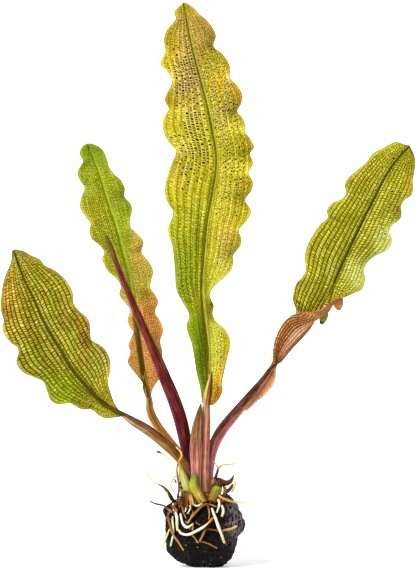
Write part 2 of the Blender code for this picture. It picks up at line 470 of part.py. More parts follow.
def make_blade(name, blade, stations, rib, finish):
    """A leaf blade with a thick midrib that thins from the base to the tip."""
    bm = bmesh.new()
    bmesh.ops.create_grid(bm, x_segments=6, y_segments=stations, size=1.0)
    rib_of = {}
    for vertex in bm.verts:
        column, u = vertex.co.x, (vertex.co.y + 1) / 2
        width = max(blade.half_width(u, 1 if column > 0 else 0), 0.1)
        share = min(RIB_HALF * (1.4 - u) / width, 0.45)
        vertex.co = blade.point(u, across_at(column, share))
        if abs(column) < 0.01:
            rib_of[vertex.index] = max(1.0 - u, 0.15) ** 0.8
    piece = add_mesh(name, bm, finish)
    group = piece.vertex_groups.new(name="midrib")
    for index, share in rib_of.items():
        group.add([index], share, "REPLACE")
    solid = piece.modifiers.new("thickness", "SOLIDIFY")
    solid.thickness = rib * MM
    solid.offset = 0.0
    solid.vertex_group = "midrib"
    solid.thickness_vertex_group = BLADE_THICK / rib
    return piece


def make_tongue(name, rows, finish):
    """A short flat piece: a sheath, a cut stub or a dry scale."""
    *outline, thick = rows
    blade = Blade(*outline)
    bm = bmesh.new()
    bmesh.ops.create_grid(bm, x_segments=4, y_segments=2 * (len(blade.midrib) - 1), size=1.0)
    for vertex in bm.verts:
        vertex.co = blade.point((vertex.co.y + 1) / 2, vertex.co.x)
    piece = add_mesh(name, bm, finish)
    solid = piece.modifiers.new("thickness", "SOLIDIFY")
    solid.thickness = thick * MM
    solid.offset = 0.0
    return piece


def make_tube(name, rows, count, sides, finish):
    """A round stalk or root of count segments through rows of (x, z, depth, radius)."""
    points = [Vector((x, depth, z, radius)) for x, z, depth, radius in rows]
    stations = spaced(points)
    curve = bpy.data.curves.new(name, "CURVE")
    curve.dimensions = "3D"
    curve.bevel_depth = MM
    curve.bevel_resolution = sides
    curve.use_fill_caps = True
    spline = curve.splines.new("POLY")
    spline.points.add(count)
    for k, point in enumerate(spline.points):
        here = read(points, stations, k / count)
        point.co = (*placed(here.xyz), 1.0)
        point.radius = here.w
    curve.materials.append(material(finish))
    piece = bpy.data.objects.new(name, curve)
    bpy.context.collection.objects.link(piece)
    return piece


def tuber_reach(angle):
    """How far the tuber's outline is from its middle, at an angle in the front view."""
    middle_x, _, middle_z = TUBER_MIDDLE
    spokes = []
    for x, z in TUBER_OUTLINE:
        aside, up = x - middle_x, z - middle_z
        spokes.append((atan2(up, aside) % (2 * pi), hypot(aside, up)))
    spokes.sort()
    first, last = spokes[0], spokes[-1]
    spokes = [(last[0] - 2 * pi, last[1]), *spokes, (first[0] + 2 * pi, first[1])]
    angle %= 2 * pi
    for (a, near), (b, far) in zip(spokes, spokes[1:]):
        if a <= angle <= b:
            t = (angle - a) / (b - a)
            t = t * t * (3 - 2 * t)
            return near + (far - near) * t
    return spokes[0][1]


def tuber_front(x, z):
    """The depth of the tuber's front surface, before its lumps, at a place in the front view."""
    middle_x, middle_y, middle_z = TUBER_MIDDLE
    out = hypot(x - middle_x, z - middle_z)
    share = min(out / tuber_reach(atan2(z - middle_z, x - middle_x)), 1.0)
    left_over = (1.0 - share ** TUBER_SQUARENESS) ** (1 / TUBER_SQUARENESS)
    return middle_y - TUBER_HALF_DEPTH * left_over


def make_tuber():
    """The lumpy tuber, flat where it stands and where the crown sits on it."""
    bm = bmesh.new()
    bmesh.ops.create_icosphere(bm, subdivisions=4, radius=1.0)
    middle = Vector(TUBER_MIDDLE)
    for vertex in bm.verts:
        way = vertex.co.normalized()
        flat = hypot(way.x, way.z)
        power = TUBER_SQUARENESS
        reach = tuber_reach(atan2(way.z, way.x))
        size = ((flat / reach) ** power + (abs(way.y) / TUBER_HALF_DEPTH) ** power) ** (-1 / power)
        dent = 0.5 + 0.5 * noise.noise(way * 2.6 + Vector((3.1, 0.4, 7.7)))
        dent += 0.35 * (0.5 + 0.5 * noise.noise(way * 6.0 + Vector((1.3, 5.2, 2.9))))
        spot = middle + way * (size - TUBER_LUMP * dent)
        if spot.z < FOOT_BAND:
            spot.z = 0.0
        sideways = (spot.x - CROWN_PLACE[0]) / SEAT_REACH[0]
        if hypot(sideways, (spot.y - CROWN_PLACE[1]) / SEAT_REACH[1]) < 1.0:
            spot.z = min(spot.z, SEAT_HEIGHT)
        vertex.co = spot + Vector((0, 0, spot.y * SIGHT_SLOPE))
    return add_mesh("tuber", bm, "tuber")


def make_crown():
    """The shoot base, with upright ridges left by old leaf sheaths."""
    bm = bmesh.new()
    low, high = CROWN_PROFILE[0][1], CROWN_PROFILE[-1][1]
    profile = [(0.0, low), *CROWN_PROFILE, (0.0, high)]
    chain = [bm.verts.new((radius, 0.0, z)) for radius, z in profile]
    edges = [bm.edges.new(pair) for pair in zip(chain, chain[1:])]
    turned = {"axis": (0, 0, 1), "cent": (0, 0, 0), "angle": 2 * pi, "steps": CROWN_SIDES}
    bmesh.ops.spin(bm, geom=chain + edges, **turned)
    bmesh.ops.remove_doubles(bm, verts=bm.verts, dist=0.01)
    bmesh.ops.recalc_face_normals(bm, faces=bm.faces)
    for vertex in bm.verts:
        angle = atan2(vertex.co.y, vertex.co.x)
        ridge = 1.0 - CROWN_RIDGE * (0.5 + 0.5 * cos(5 * angle + 0.5 * vertex.co.z))
        vertex.co.x = CROWN_PLACE[0] + vertex.co.x * ridge
        vertex.co.y = CROWN_PLACE[1] + vertex.co.y * ridge
        vertex.co.z += vertex.co.y * SIGHT_SLOPE
    return add_mesh("crown", bm, "crown")


def make_root(name, rows, radius):
    """One root through rows of (x, z, depth)."""
    count = max(ROOT_SEGMENTS, len(rows) - 1)
    make_tube(name, [(*row, radius) for row in rows], count, 1, name.rsplit("_", 1)[0])


def make_roots():
    """Every root: those on the tuber's front and back stand off it by their own radius."""
    for side, roots in ((-1, FRONT_ROOTS), (1, BACK_ROOTS)):
        for name, (radius, rows) in roots.items():
            lifted = []
            for x, z, lift in rows:
                bulge = TUBER_MIDDLE[1] - tuber_front(x, min(z, SEAT_HEIGHT - 1.0))
                lifted.append((x, z, TUBER_MIDDLE[1] + side * (bulge + radius + lift)))
            make_root(name, lifted, radius)
    for name, (radius, rows) in FREE_ROOTS.items():
        make_root(name, rows, radius)


def make_plant():
    """All the pieces."""
    make_tuber()
    make_crown()
    tall = Blade(TALL_MIDRIB, TALL_LEFT, TALL_RIGHT)
    left = Blade(LEFT_MIDRIB, LEFT_LOWER, LEFT_UPPER)
    back = Blade(BACK_MIDRIB, BACK_LEFT, BACK_RIGHT)
    right = Blade(RIGHT_MIDRIB, RIGHT_UPPER, RIGHT_LOWER, RIGHT_BOW)
    make_blade("tall_leaf_blade", tall, 50, 2.4, "tall_leaf")
    make_blade("left_leaf_blade", left, 30, 2.2, "left_leaf")
    make_blade("back_leaf_blade", back, 34, 2.0, "back_leaf")
    make_blade("right_leaf_blade", right, 40, 2.6, "right_leaf")
    make_tube("tall_leaf_stalk", TALL_STALK, STALK_SEGMENTS, 2, "pink_stalk")
    make_tube("left_leaf_stalk", LEFT_STALK, STALK_SEGMENTS, 2, "brown_stalk")
    make_tube("back_leaf_stalk", BACK_STALK, STALK_SEGMENTS, 2, "gold_stalk")
    make_tube("right_leaf_stalk", RIGHT_STALK, STALK_SEGMENTS, 2, "brown_stalk")
    make_tube("rolled_young_leaf", ROLLED_LEAF, ROLLED_SEGMENTS, 2, "maroon")
    make_tongue("sheath_leaf", SHEATH_LEAF, "sheath")
    make_tongue("pale_sheath_stub", PALE_STUB, "pale_sheath")
    make_tongue("green_sheath_stub", GREEN_STUB, "green_sheath")
    make_tongue("dark_tipped_stub", DARK_TIPPED_STUB, "green_sheath")
    make_tongue("dry_scale_left", DRY_SCALE_LEFT, "dry_scale")
    make_tongue("dry_scale_right", DRY_SCALE_RIGHT, "dry_scale")
    make_tongue("dry_scale_back", DRY_SCALE_BACK, "dry_scale")
    make_roots()


clear_scene()
make_plant()
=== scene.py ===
"""The looks of a Madagascar lace plant, lifted with its roots and standing on its tuber.

The frame is in metres: +X to the right as seen from the front, +Y away from the front, +Z up.
The tables are in millimetres as seen from the front, like those of the solids. A piece whose
name ends in _skin stands for the solid of that name, and the others are small things that the
solids leave out: fibres, scraps, husks, crumbs, curls of a margin and the ends of roots.
"""

from math import atan, cos, hypot, pi, sin

import bpy
import numpy as np
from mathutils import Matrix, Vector, noise


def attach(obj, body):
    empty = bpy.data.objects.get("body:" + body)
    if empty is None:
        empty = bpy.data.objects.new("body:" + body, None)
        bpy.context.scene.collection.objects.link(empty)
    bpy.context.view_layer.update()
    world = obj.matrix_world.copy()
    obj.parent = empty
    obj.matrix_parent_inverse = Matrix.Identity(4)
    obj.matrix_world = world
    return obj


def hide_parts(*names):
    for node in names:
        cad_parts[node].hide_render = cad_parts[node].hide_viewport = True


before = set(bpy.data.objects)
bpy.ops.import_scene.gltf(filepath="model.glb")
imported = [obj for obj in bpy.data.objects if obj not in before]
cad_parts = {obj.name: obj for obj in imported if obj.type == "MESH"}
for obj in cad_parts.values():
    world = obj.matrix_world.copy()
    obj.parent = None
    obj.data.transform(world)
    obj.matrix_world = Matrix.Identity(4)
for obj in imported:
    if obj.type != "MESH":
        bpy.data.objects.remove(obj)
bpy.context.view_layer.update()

MM = 0.001
FRONT, BACK = -1, 1  # the plant's sides, along +Y
WHITE = (1.0, 1.0, 1.0, 1.0)

# The outlines are given as seen from the front by an eye that looks down by this slope, so a
# point further back lies lower than it looks.
SIGHT_SLOPE = 0.06

# A blade's midrib is a list of (x, z, depth), from base to tip. A margin is a list of
# (x, z, rise), where the rise is how far the margin lies behind the midrib.
TALL_MIDRIB = [
    (0.4, 65.0, -0.6), (1.0, 72.0, 0.2), (1.3, 80.8, 1.4), (1.2, 88.8, 2.6), (-0.3, 100.8, 4.2),
    (-1.0, 110.8, 5.6), (-0.4, 122.8, 7.2), (1.2, 138.8, 9.2), (3.4, 150.8, 10.4),
    (4.8, 162.8, 11.2), (3.2, 174.8, 11.6), (0.6, 186.8, 11.2), (-2.6, 198.8, 10.0),
    (-5.6, 210.8, 7.8), (-8.4, 225.6, 4.4),
]
TALL_LEFT = [
    (-1.2, 65.6, 0.0), (-1.9, 71.6, -0.6), (-3.3, 77.6, -1.2), (-5.2, 88.8, -1.0),
    (-7.4, 96.0, 0.6), (-6.4, 100.8, 1.6), (-8.8, 105.6, 0.2), (-11.4, 110.8, -1.6),
    (-12.0, 118.8, -2.4), (-13.0, 128.0, -1.8), (-14.8, 134.8, -0.4), (-12.8, 142.0, 2.4),
    (-15.4, 146.8, 0.6), (-16.0, 151.8, -1.2), (-14.0, 159.6, -2.6), (-11.6, 166.8, -3.8),
    (-14.8, 170.4, -1.6), (-16.8, 175.6, 0.4), (-16.6, 179.6, 1.4), (-14.6, 183.2, 2.6),
    (-16.0, 187.6, 0.4), (-13.2, 193.6, -3.4), (-14.8, 198.0, -1.6), (-17.8, 201.6, 0.4),
    (-15.8, 206.0, 2.4), (-16.4, 210.8, 0.8), (-15.2, 214.8, -0.8), (-11.6, 218.8, -2.4),
    (-12.2, 222.0, -0.6), (-9.2, 225.4, 0.0),
]
TALL_RIGHT = [
    (2.1, 64.6, 0.0), (3.4, 64.9, -0.4), (5.4, 66.8, -1.0), (7.0, 70.8, -1.8), (6.6, 73.0, -2.2),
    (7.8, 78.8, -1.6), (8.9, 83.6, -1.0), (10.2, 90.0, -0.4), (8.2, 94.8, 0.4), (4.4, 98.2, 2.0),
    (3.0, 101.2, 2.8), (3.5, 104.4, 1.6), (1.8, 108.4, -2.2), (2.6, 111.2, -3.0),
    (5.8, 114.4, -2.4), (9.8, 117.8, -1.0), (11.4, 121.6, 0.6), (11.2, 124.6, 2.4),
    (14.0, 128.2, 1.2), (14.6, 131.0, 0.0), (13.6, 134.8, -2.6), (16.8, 138.8, -1.6),
    (18.4, 142.6, -0.2), (16.2, 146.8, 2.4), (18.6, 150.6, 1.0), (19.2, 153.8, -0.6),
    (17.4, 157.6, -3.0), (19.2, 161.6, -0.6), (18.0, 165.4, 2.4), (19.6, 168.2, 1.2),
    (18.0, 171.4, -0.8), (16.0, 173.8, -3.0), (16.0, 177.2, -1.6), (14.8, 180.0, 0.6),
    (13.0, 182.6, 2.6), (14.4, 185.4, 1.4), (14.8, 189.4, -0.4), (12.4, 193.2, -1.8),
    (10.0, 195.6, -3.0), (10.0, 200.2, -0.8), (7.2, 205.2, 1.4), (3.5, 208.4, 2.6),
    (4.4, 212.4, 0.6), (2.8, 216.0, -0.8), (0.4, 218.8, -1.6), (-2.4, 220.8, -2.4),
    (-3.6, 222.8, -0.8), (-7.0, 225.4, 0.0),
]

LEFT_MIDRIB = [
    (-32.8, 61.2, -12.4), (-35.6, 62.6, -13.4), (-39.2, 64.8, -14.4), (-43.0, 67.8, -15.6),
    (-49.2, 74.8, -17.6), (-52.6, 79.0, -18.6), (-56.8, 86.2, -19.8), (-60.8, 92.8, -20.6),
    (-64.4, 99.4, -21.0), (-68.0, 107.6, -21.0), (-71.8, 115.4, -20.4), (-76.0, 126.6, -18.6),
]
LEFT_LOWER = [
    (-34.0, 60.2, 0.0), (-36.8, 59.9, -0.4), (-40.0, 59.8, -0.8), (-42.2, 60.9, 0.4),
    (-45.2, 63.2, 1.8), (-48.8, 63.2, 0.6), (-51.4, 64.5, -0.6), (-54.0, 65.8, -1.8),
    (-57.6, 65.3, -1.0), (-60.2, 66.0, 0.2), (-62.0, 68.0, 1.2), (-63.0, 71.2, 2.6),
    (-64.4, 74.4, 1.8), (-67.7, 76.0, 0.4), (-71.0, 77.3, -0.8), (-73.6, 79.6, -1.8),
    (-74.8, 82.4, -2.2), (-74.0, 85.2, -3.2), (-74.4, 88.0, -2.2), (-77.2, 90.0, -0.6),
    (-79.6, 93.2, 0.8), (-80.4, 96.0, 1.6), (-80.0, 98.6, 2.4), (-81.0, 103.2, 0.8),
    (-80.8, 108.0, -0.6), (-80.2, 112.4, -1.4), (-78.8, 117.2, -1.8), (-76.8, 122.0, -1.0),
    (-76.6, 126.2, 0.0),
]
LEFT_UPPER = [
    (-33.0, 62.2, 0.0), (-34.2, 62.9, -0.2), (-36.0, 65.6, -1.0), (-37.4, 69.6, -1.8),
    (-38.6, 74.8, -3.0), (-37.6, 79.6, -1.6), (-37.7, 82.8, -0.2), (-39.2, 86.4, 1.0),
    (-42.0, 89.2, 2.0), (-45.0, 90.8, 3.0), (-45.6, 93.6, 1.6), (-45.6, 96.8, 0.0),
    (-46.8, 99.8, -1.2), (-50.2, 102.8, -2.2), (-52.2, 105.8, -3.0), (-52.2, 108.8, -1.6),
    (-53.4, 112.0, 0.2), (-56.0, 115.6, 1.4), (-59.6, 118.6, 1.8), (-63.6, 120.6, 2.0),
    (-65.6, 123.0, 1.0), (-69.0, 124.6, 0.2), (-71.8, 126.2, -0.2), (-75.2, 127.0, 0.0),
]

BACK_MIDRIB = [
    (-22.6, 67.6, 11.4), (-24.0, 72.8, 12.6), (-25.2, 79.6, 14.2), (-26.8, 90.8, 16.6),
    (-28.0, 100.8, 18.6), (-30.0, 114.8, 21.2), (-32.0, 123.6, 22.6), (-35.6, 136.4, 24.2),
    (-39.6, 148.8, 25.2), (-42.4, 158.0, 25.4), (-45.2, 164.8, 24.8), (-46.8, 169.6, 23.8),
]
BACK_LEFT = [
    (-23.9, 67.8, 0.0), (-24.8, 71.6, -0.8), (-24.9, 73.6, -1.6), (-26.8, 76.0, -1.0),
    (-29.6, 79.2, 0.2), (-31.0, 82.0, 1.0), (-30.0, 86.0, 2.0), (-30.8, 88.8, 0.6),
    (-28.6, 94.0, -1.6), (-30.0, 95.8, -1.0), (-31.2, 98.6, 0.4), (-30.2, 102.8, 2.0),
    (-32.0, 105.4, 0.8), (-34.4, 108.8, -0.6), (-33.8, 112.2, -1.8), (-35.6, 115.4, -0.8),
    (-38.8, 118.0, 0.4), (-40.4, 120.6, 1.0), (-41.4, 123.4, 1.6), (-40.6, 126.0, 2.4),
    (-42.4, 128.8, 1.0), (-45.6, 131.6, -0.4), (-46.4, 134.8, -1.2), (-46.0, 137.6, -2.2),
    (-48.4, 140.8, -0.8), (-50.2, 144.2, 0.6), (-50.0, 147.4, 1.4), (-48.4, 152.0, 2.6),
    (-50.4, 155.2, 1.2), (-51.2, 158.4, -0.4), (-48.8, 162.4, -2.2), (-50.4, 166.0, -1.0),
    (-49.2, 168.8, -0.2), (-47.4, 169.8, 0.0),
]
BACK_RIGHT = [
    (-21.6, 68.0, 0.0), (-21.2, 70.4, -0.2), (-19.6, 73.2, 0.6), (-18.0, 75.8, 1.4),
    (-17.2, 80.8, 0.4), (-17.2, 86.4, -0.8), (-18.0, 90.4, -2.0), (-16.8, 94.4, -0.6),
    (-18.0, 98.4, 0.8), (-20.0, 102.0, 2.0), (-18.8, 106.0, 0.6), (-20.0, 108.8, -0.8),
    (-22.0, 111.6, -2.2), (-21.6, 114.8, -1.2), (-20.8, 118.0, 0.2), (-22.4, 122.0, 1.2),
    (-24.4, 124.4, 1.8), (-25.6, 126.4, 2.6), (-24.8, 129.6, 1.2), (-25.6, 131.6, 0.0),
    (-27.2, 133.2, -1.0), (-30.0, 136.0, -2.2), (-30.2, 139.2, -1.2), (-29.4, 142.8, 0.2),
    (-30.0, 145.8, 1.2), (-32.4, 148.4, 2.4), (-32.4, 152.0, 0.8), (-34.0, 155.2, -0.6),
    (-36.4, 157.2, -1.8), (-38.4, 160.0, -1.0), (-39.6, 164.0, 0.2), (-41.2, 167.2, 0.6),
    (-43.6, 169.0, 0.2), (-46.2, 169.9, 0.0),
]

# The right leaf is turned over near its base. There its right half wraps forward over the left
# one and shows its bronze back, and the left half comes out below as a narrow wing.
RIGHT_MIDRIB = [
    (14.2, 63.8, -4.6), (18.4, 68.6, -5.8), (23.0, 74.4, -7.0), (26.9, 79.6, -8.0),
    (30.0, 82.8, -8.6), (34.1, 87.3, -9.6), (38.5, 91.9, -10.6), (42.3, 96.5, -11.6),
    (45.2, 101.8, -12.6), (48.8, 107.8, -13.8), (52.0, 115.6, -15.2), (56.0, 124.8, -16.8),
    (60.4, 134.0, -18.4), (64.6, 142.6, -19.6), (68.8, 150.8, -20.4), (73.0, 158.4, -20.8),
    (77.2, 164.0, -20.8), (81.0, 167.8, -20.4),
]
RIGHT_UPPER = [
    (15.6, 62.6, 0.2), (17.0, 62.9, 0.2), (19.6, 65.2, 0.0), (23.6, 68.6, -0.6),
    (26.8, 72.0, -1.0), (28.1, 75.4, -0.4), (28.1, 78.4, 1.4), (29.4, 84.6, 2.8),
    (30.6, 91.0, 4.2), (33.4, 97.4, 4.6), (36.0, 101.4, 4.0), (36.2, 103.4, 3.0),
    (35.2, 106.2, 0.8), (35.0, 109.4, -1.0), (36.2, 113.2, -1.8), (38.2, 115.4, -2.2),
    (40.0, 118.4, -3.2), (39.6, 124.0, -1.6), (40.8, 128.8, 0.0), (43.4, 133.6, 1.4),
    (46.0, 137.2, 2.0), (48.6, 139.6, 3.0), (48.4, 142.6, 1.4), (50.6, 145.4, -0.6),
    (54.4, 147.0, -1.8), (56.0, 149.4, -3.0), (55.4, 152.6, -1.2), (56.8, 155.2, 0.4),
    (60.4, 158.4, 1.4), (64.0, 161.4, 2.2), (66.4, 164.8, 0.8), (70.0, 166.8, -0.4),
    (73.6, 168.8, -0.8), (76.0, 169.6, -0.6), (78.8, 168.6, -0.2), (80.7, 168.3, 0.0),
]
RIGHT_LOWER = [
    (13.0, 64.9, 0.2), (17.3, 69.7, -0.2), (21.9, 75.4, -0.8), (25.4, 80.0, -2.0),
    (26.8, 82.6, -3.0), (27.0, 86.0, -4.0), (27.6, 90.8, -4.8), (29.6, 95.6, -5.4),
    (32.4, 99.2, -5.8), (36.2, 101.4, -6.2), (41.2, 102.0, -6.6), (46.0, 102.8, -6.8),
    (49.0, 105.2, -6.0), (51.8, 107.2, -4.6), (56.0, 108.2, -2.4), (58.6, 109.2, -0.8),
    (62.4, 111.2, 0.4), (63.7, 115.2, 1.4), (63.2, 118.4, 2.0), (64.0, 121.2, 2.8),
    (67.2, 124.0, 1.8), (70.4, 125.6, 0.6), (73.0, 127.2, -0.4), (74.1, 130.4, -1.2),
    (73.0, 133.6, -2.4), (74.0, 136.4, -1.4), (76.8, 138.4, 0.2), (78.0, 140.8, 1.2),
    (77.7, 144.0, 2.4), (79.2, 146.6, 1.2), (81.8, 148.4, 0.2), (82.5, 151.2, -0.6),
    (82.2, 153.6, -1.8), (82.8, 157.0, -0.8), (83.2, 160.8, 0.0), (82.9, 164.2, 0.2),
    (81.4, 167.5, 0.0),
]

# Where the right half turns over, its middle bows down and out: (station, reach, (x, z, depth)).
RIGHT_BOW = (0.405, 0.105, (2.3, -1.5, -0.6))

# The stalks, the sheaths and the rolled leaf: (x, z, depth, radius) from the crown up. A stalk runs
# on up its blade as the foot of the midrib.
STALKS = {
    "tall_leaf_stalk": [
        (-0.2, 29.8, -2.0, 2.2), (-0.4, 35.0, -1.8, 1.9), (-0.4, 41.0, -1.6, 1.8), (0.0, 50.0, -1.2, 1.9),
        (0.3, 58.0, -0.9, 1.8), (0.4, 64.5, -0.6, 1.5), (0.9, 68.6, -0.9, 1.45), (1.5, 72.4, -0.9, 1.05),
        (2.2, 76.2, -0.4, 0.5), (2.5, 78.0, 0.0, 0.15),
    ],
    "left_leaf_stalk": [
        (-5.7, 30.0, -2.4, 1.6), (-7.0, 38.4, -3.6, 1.8), (-9.4, 42.8, -4.6, 1.95),
        (-13.2, 46.9, -6.2, 2.0), (-18.6, 51.6, -8.2, 1.95), (-24.0, 55.6, -9.8, 1.9),
        (-28.8, 58.5, -11.2, 1.6), (-32.3, 60.9, -12.2, 1.0), (-35.4, 62.5, -13.6, 0.9),
        (-39.0, 64.7, -14.6, 0.8), (-43.4, 68.1, -15.8, 0.5), (-48.6, 74.0, -17.2, 0.2),
    ],
    "back_leaf_stalk": [
        (-4.0, 30.1, 4.8, 1.4), (-6.6, 39.0, 6.0, 1.6), (-10.4, 45.0, 7.0, 1.7), (-14.8, 50.6, 8.2, 1.7),
        (-18.8, 55.8, 9.2, 1.7), (-21.8, 61.6, 10.2, 1.6), (-22.5, 67.1, 11.2, 1.2),
        (-23.6, 71.6, 12.0, 1.0), (-24.9, 78.0, 13.4, 0.8), (-26.4, 88.0, 15.8, 0.4),
    ],
    "right_leaf_stalk": [
        (1.0, 30.0, 3.2, 1.6), (2.0, 42.0, 2.2, 1.8), (3.5, 48.4, 0.6, 2.0), (6.4, 54.2, -1.6, 2.1),
        (10.2, 59.2, -3.4, 2.0), (13.6, 63.2, -4.5, 1.9), (17.6, 67.8, -6.2, 1.8),
        (21.8, 73.0, -7.6, 1.4), (25.4, 77.8, -8.6, 0.9), (27.6, 80.6, -9.0, 0.35),
    ],
    "sheath_leaf": [
        (-3.0, 30.2, -4.8, 1.7), (-3.5, 34.0, -4.8, 1.8), (-3.6, 40.0, -4.6, 2.0),
        (-3.7, 48.0, -4.2, 2.3), (-3.2, 55.0, -3.8, 2.1), (-2.4, 60.8, -3.4, 1.3),
        (-1.6, 65.4, -3.0, 0.2),
    ],
    "pale_sheath_stub": [
        (-7.4, 27.6, -7.4, 1.8), (-7.8, 30.8, -7.4, 2.15), (-8.3, 32.8, -7.3, 2.35),
        (-8.8, 34.8, -7.3, 2.22), (-9.4, 36.8, -7.2, 1.82), (-9.8, 38.8, -7.1, 1.3),
        (-10.1, 40.4, -7.0, 0.66), (-10.2, 41.7, -6.9, 0.12),
    ],
    "green_sheath_stub": [
        (-0.8, 25.8, -7.7, 1.7), (-1.6, 26.8, -7.6, 1.9), (-2.8, 28.8, -7.6, 2.1),
        (-3.9, 30.8, -7.5, 2.05), (-4.5, 32.8, -7.4, 1.95), (-4.4, 34.8, -7.2, 1.6),
        (-4.2, 36.4, -7.0, 1.2), (-3.9, 37.4, -6.9, 0.7), (-3.9, 37.9, -6.9, 0.15),
    ],
    "dark_tipped_stub": [
        (2.8, 26.4, -7.2, 1.8), (4.0, 28.8, -7.0, 2.1), (4.7, 30.8, -6.7, 2.05), (5.4, 32.4, -6.4, 1.5),
        (5.6, 34.0, -6.1, 1.15), (5.5, 34.8, -6.0, 0.8), (5.4, 35.1, -5.9, 0.2),
    ],
    "rolled_young_leaf": [
        (-6.0, 30.0, 1.2, 1.5), (-6.5, 38.0, 1.2, 1.8), (-7.2, 44.8, 1.2, 2.1), (-8.4, 52.4, 1.5, 2.5),
        (-10.1, 59.6, 2.0, 2.6), (-12.8, 67.6, 2.7, 2.5), (-16.0, 75.2, 3.5, 2.35),
        (-19.6, 84.0, 4.4, 2.1), (-23.6, 93.2, 5.4, 1.8), (-27.2, 101.2, 6.3, 1.6),
        (-30.0, 108.0, 7.0, 1.4), (-33.2, 115.6, 7.8, 1.25), (-36.0, 122.8, 8.6, 1.1),
        (-38.1, 128.6, 9.2, 0.9), (-39.6, 132.4, 9.6, 0.6),
    ],
}

# Thin pieces: midrib, left edge, right edge and thickness. The dry scales stand for solids, the
# scraps lie beside them, and the curls are the right leaf's margin, which curls out below its fold.
DRY_SCALES = {
    "dry_scale_right": (
        [(3.0, 35.0, -2.6), (5.6, 34.9, -3.0), (8.4, 33.8, -3.2), (10.4, 34.6, -3.0), (11.6, 36.6, -2.6)],
        [(3.0, 35.6, 0.0), (5.8, 35.6, 0.0), (8.4, 34.6, 0.0), (10.0, 35.2, 0.0), (11.4, 36.8, 0.0)],
        [(3.0, 33.9, 0.4), (5.4, 33.3, 0.6), (8.2, 32.5, 0.6), (10.6, 33.7, 0.4), (11.6, 36.6, 0.0)],
        0.5,
    ),
    "dry_scale_back": (
        [(7.8, 29.6, -4.6), (9.2, 30.6, -4.2), (10.4, 32.0, -3.6), (10.9, 33.2, -3.2)],
        [(7.2, 30.2, 0.0), (8.8, 31.0, 0.0), (10.0, 32.2, 0.0), (10.7, 33.3, 0.0)],
        [(8.4, 29.2, 0.2), (9.8, 30.0, 0.3), (10.9, 31.6, 0.2), (11.2, 33.1, 0.0)],
        0.5,
    ),
}
SCRAPS = [
    (
        [(2.4, 31.4, -5.6), (3.1, 33.4, -5.4), (3.7, 35.0, -5.0), (3.8, 36.0, -4.6)],
        [(1.9, 31.6, 0.2), (2.2, 33.6, 0.4), (2.9, 35.0, 0.3), (3.5, 36.1, 0.0)],
        [(3.2, 31.2, 0.4), (4.2, 33.0, 0.6), (4.6, 34.8, 0.4), (4.1, 36.1, 0.0)],
        0.3,
    ),
    (
        [(7.4, 28.6, -6.4), (8.0, 30.2, -6.0), (7.8, 31.6, -5.4), (7.0, 32.8, -5.0)],
        [(7.0, 28.8, 0.0), (7.3, 30.2, 0.2), (7.3, 31.4, 0.1), (6.9, 32.7, 0.0)],
        [(8.2, 28.4, 0.3), (8.8, 30.0, 0.4), (8.4, 31.8, 0.3), (7.2, 33.0, 0.0)],
        0.3,
    ),
    (
        [(-13.6, 24.4, -9.6), (-12.4, 23.6, -10.6), (-11.6, 22.6, -11.4), (-12.6, 21.4, -11.6)],
        [(-13.4, 24.0, 0.2), (-12.6, 23.2, 0.2), (-12.2, 22.4, 0.2), (-12.8, 21.6, 0.0)],
        [(-13.2, 25.0, 0.2), (-11.8, 24.2, 0.3), (-10.8, 22.6, 0.3), (-12.4, 21.0, 0.0)],
        0.3,
    ),
]
CURLS = {
    "right_leaf_curl_1": (
        [(52.6, 108.6, -15.0), (52.9, 106.4, -15.4), (53.1, 104.4, -15.4), (53.2, 102.8, -15.0)],
        [(50.6, 107.2, 0.0), (51.0, 105.4, -0.4), (51.6, 103.8, -0.4), (52.6, 102.8, 0.0)],
        [(54.8, 109.4, 0.0), (54.9, 107.0, 0.5), (54.8, 104.8, 0.5), (53.9, 102.8, 0.0)],
        0.25,
    ),
    "right_leaf_curl_2": (
        [(47.2, 102.6, -14.6), (47.1, 100.2, -14.8), (46.8, 98.6, -14.8), (46.2, 97.2, -14.6)],
        [(45.4, 102.2, 0.0), (45.5, 99.8, -0.3), (45.5, 98.4, -0.3), (45.7, 97.4, 0.0)],
        [(49.2, 102.8, 0.0), (48.9, 100.4, 0.4), (48.1, 98.5, 0.4), (46.9, 97.1, 0.0)],
        0.25,
    ),
}
# The strips of the husk left of the crown: x, top, foot, sideways drift and half width.
HUSK_STRIPS = [
    (-9.0, 30.4, 26.0, -0.6, 0.34), (-8.4, 30.8, 25.0, -0.3, 0.4), (-7.8, 30.6, 24.4, 0.2, 0.34),
    (-7.4, 30.8, 24.0, -0.6, 0.42), (-6.8, 30.6, 23.8, -0.4, 0.4), (-6.2, 30.4, 24.2, 0.5, 0.46),
    (-5.8, 30.0, 25.0, 0.8, 0.5), (-5.4, 29.4, 24.6, 0.6, 0.4), (-6.6, 29.6, 23.4, -1.0, 0.26),
]

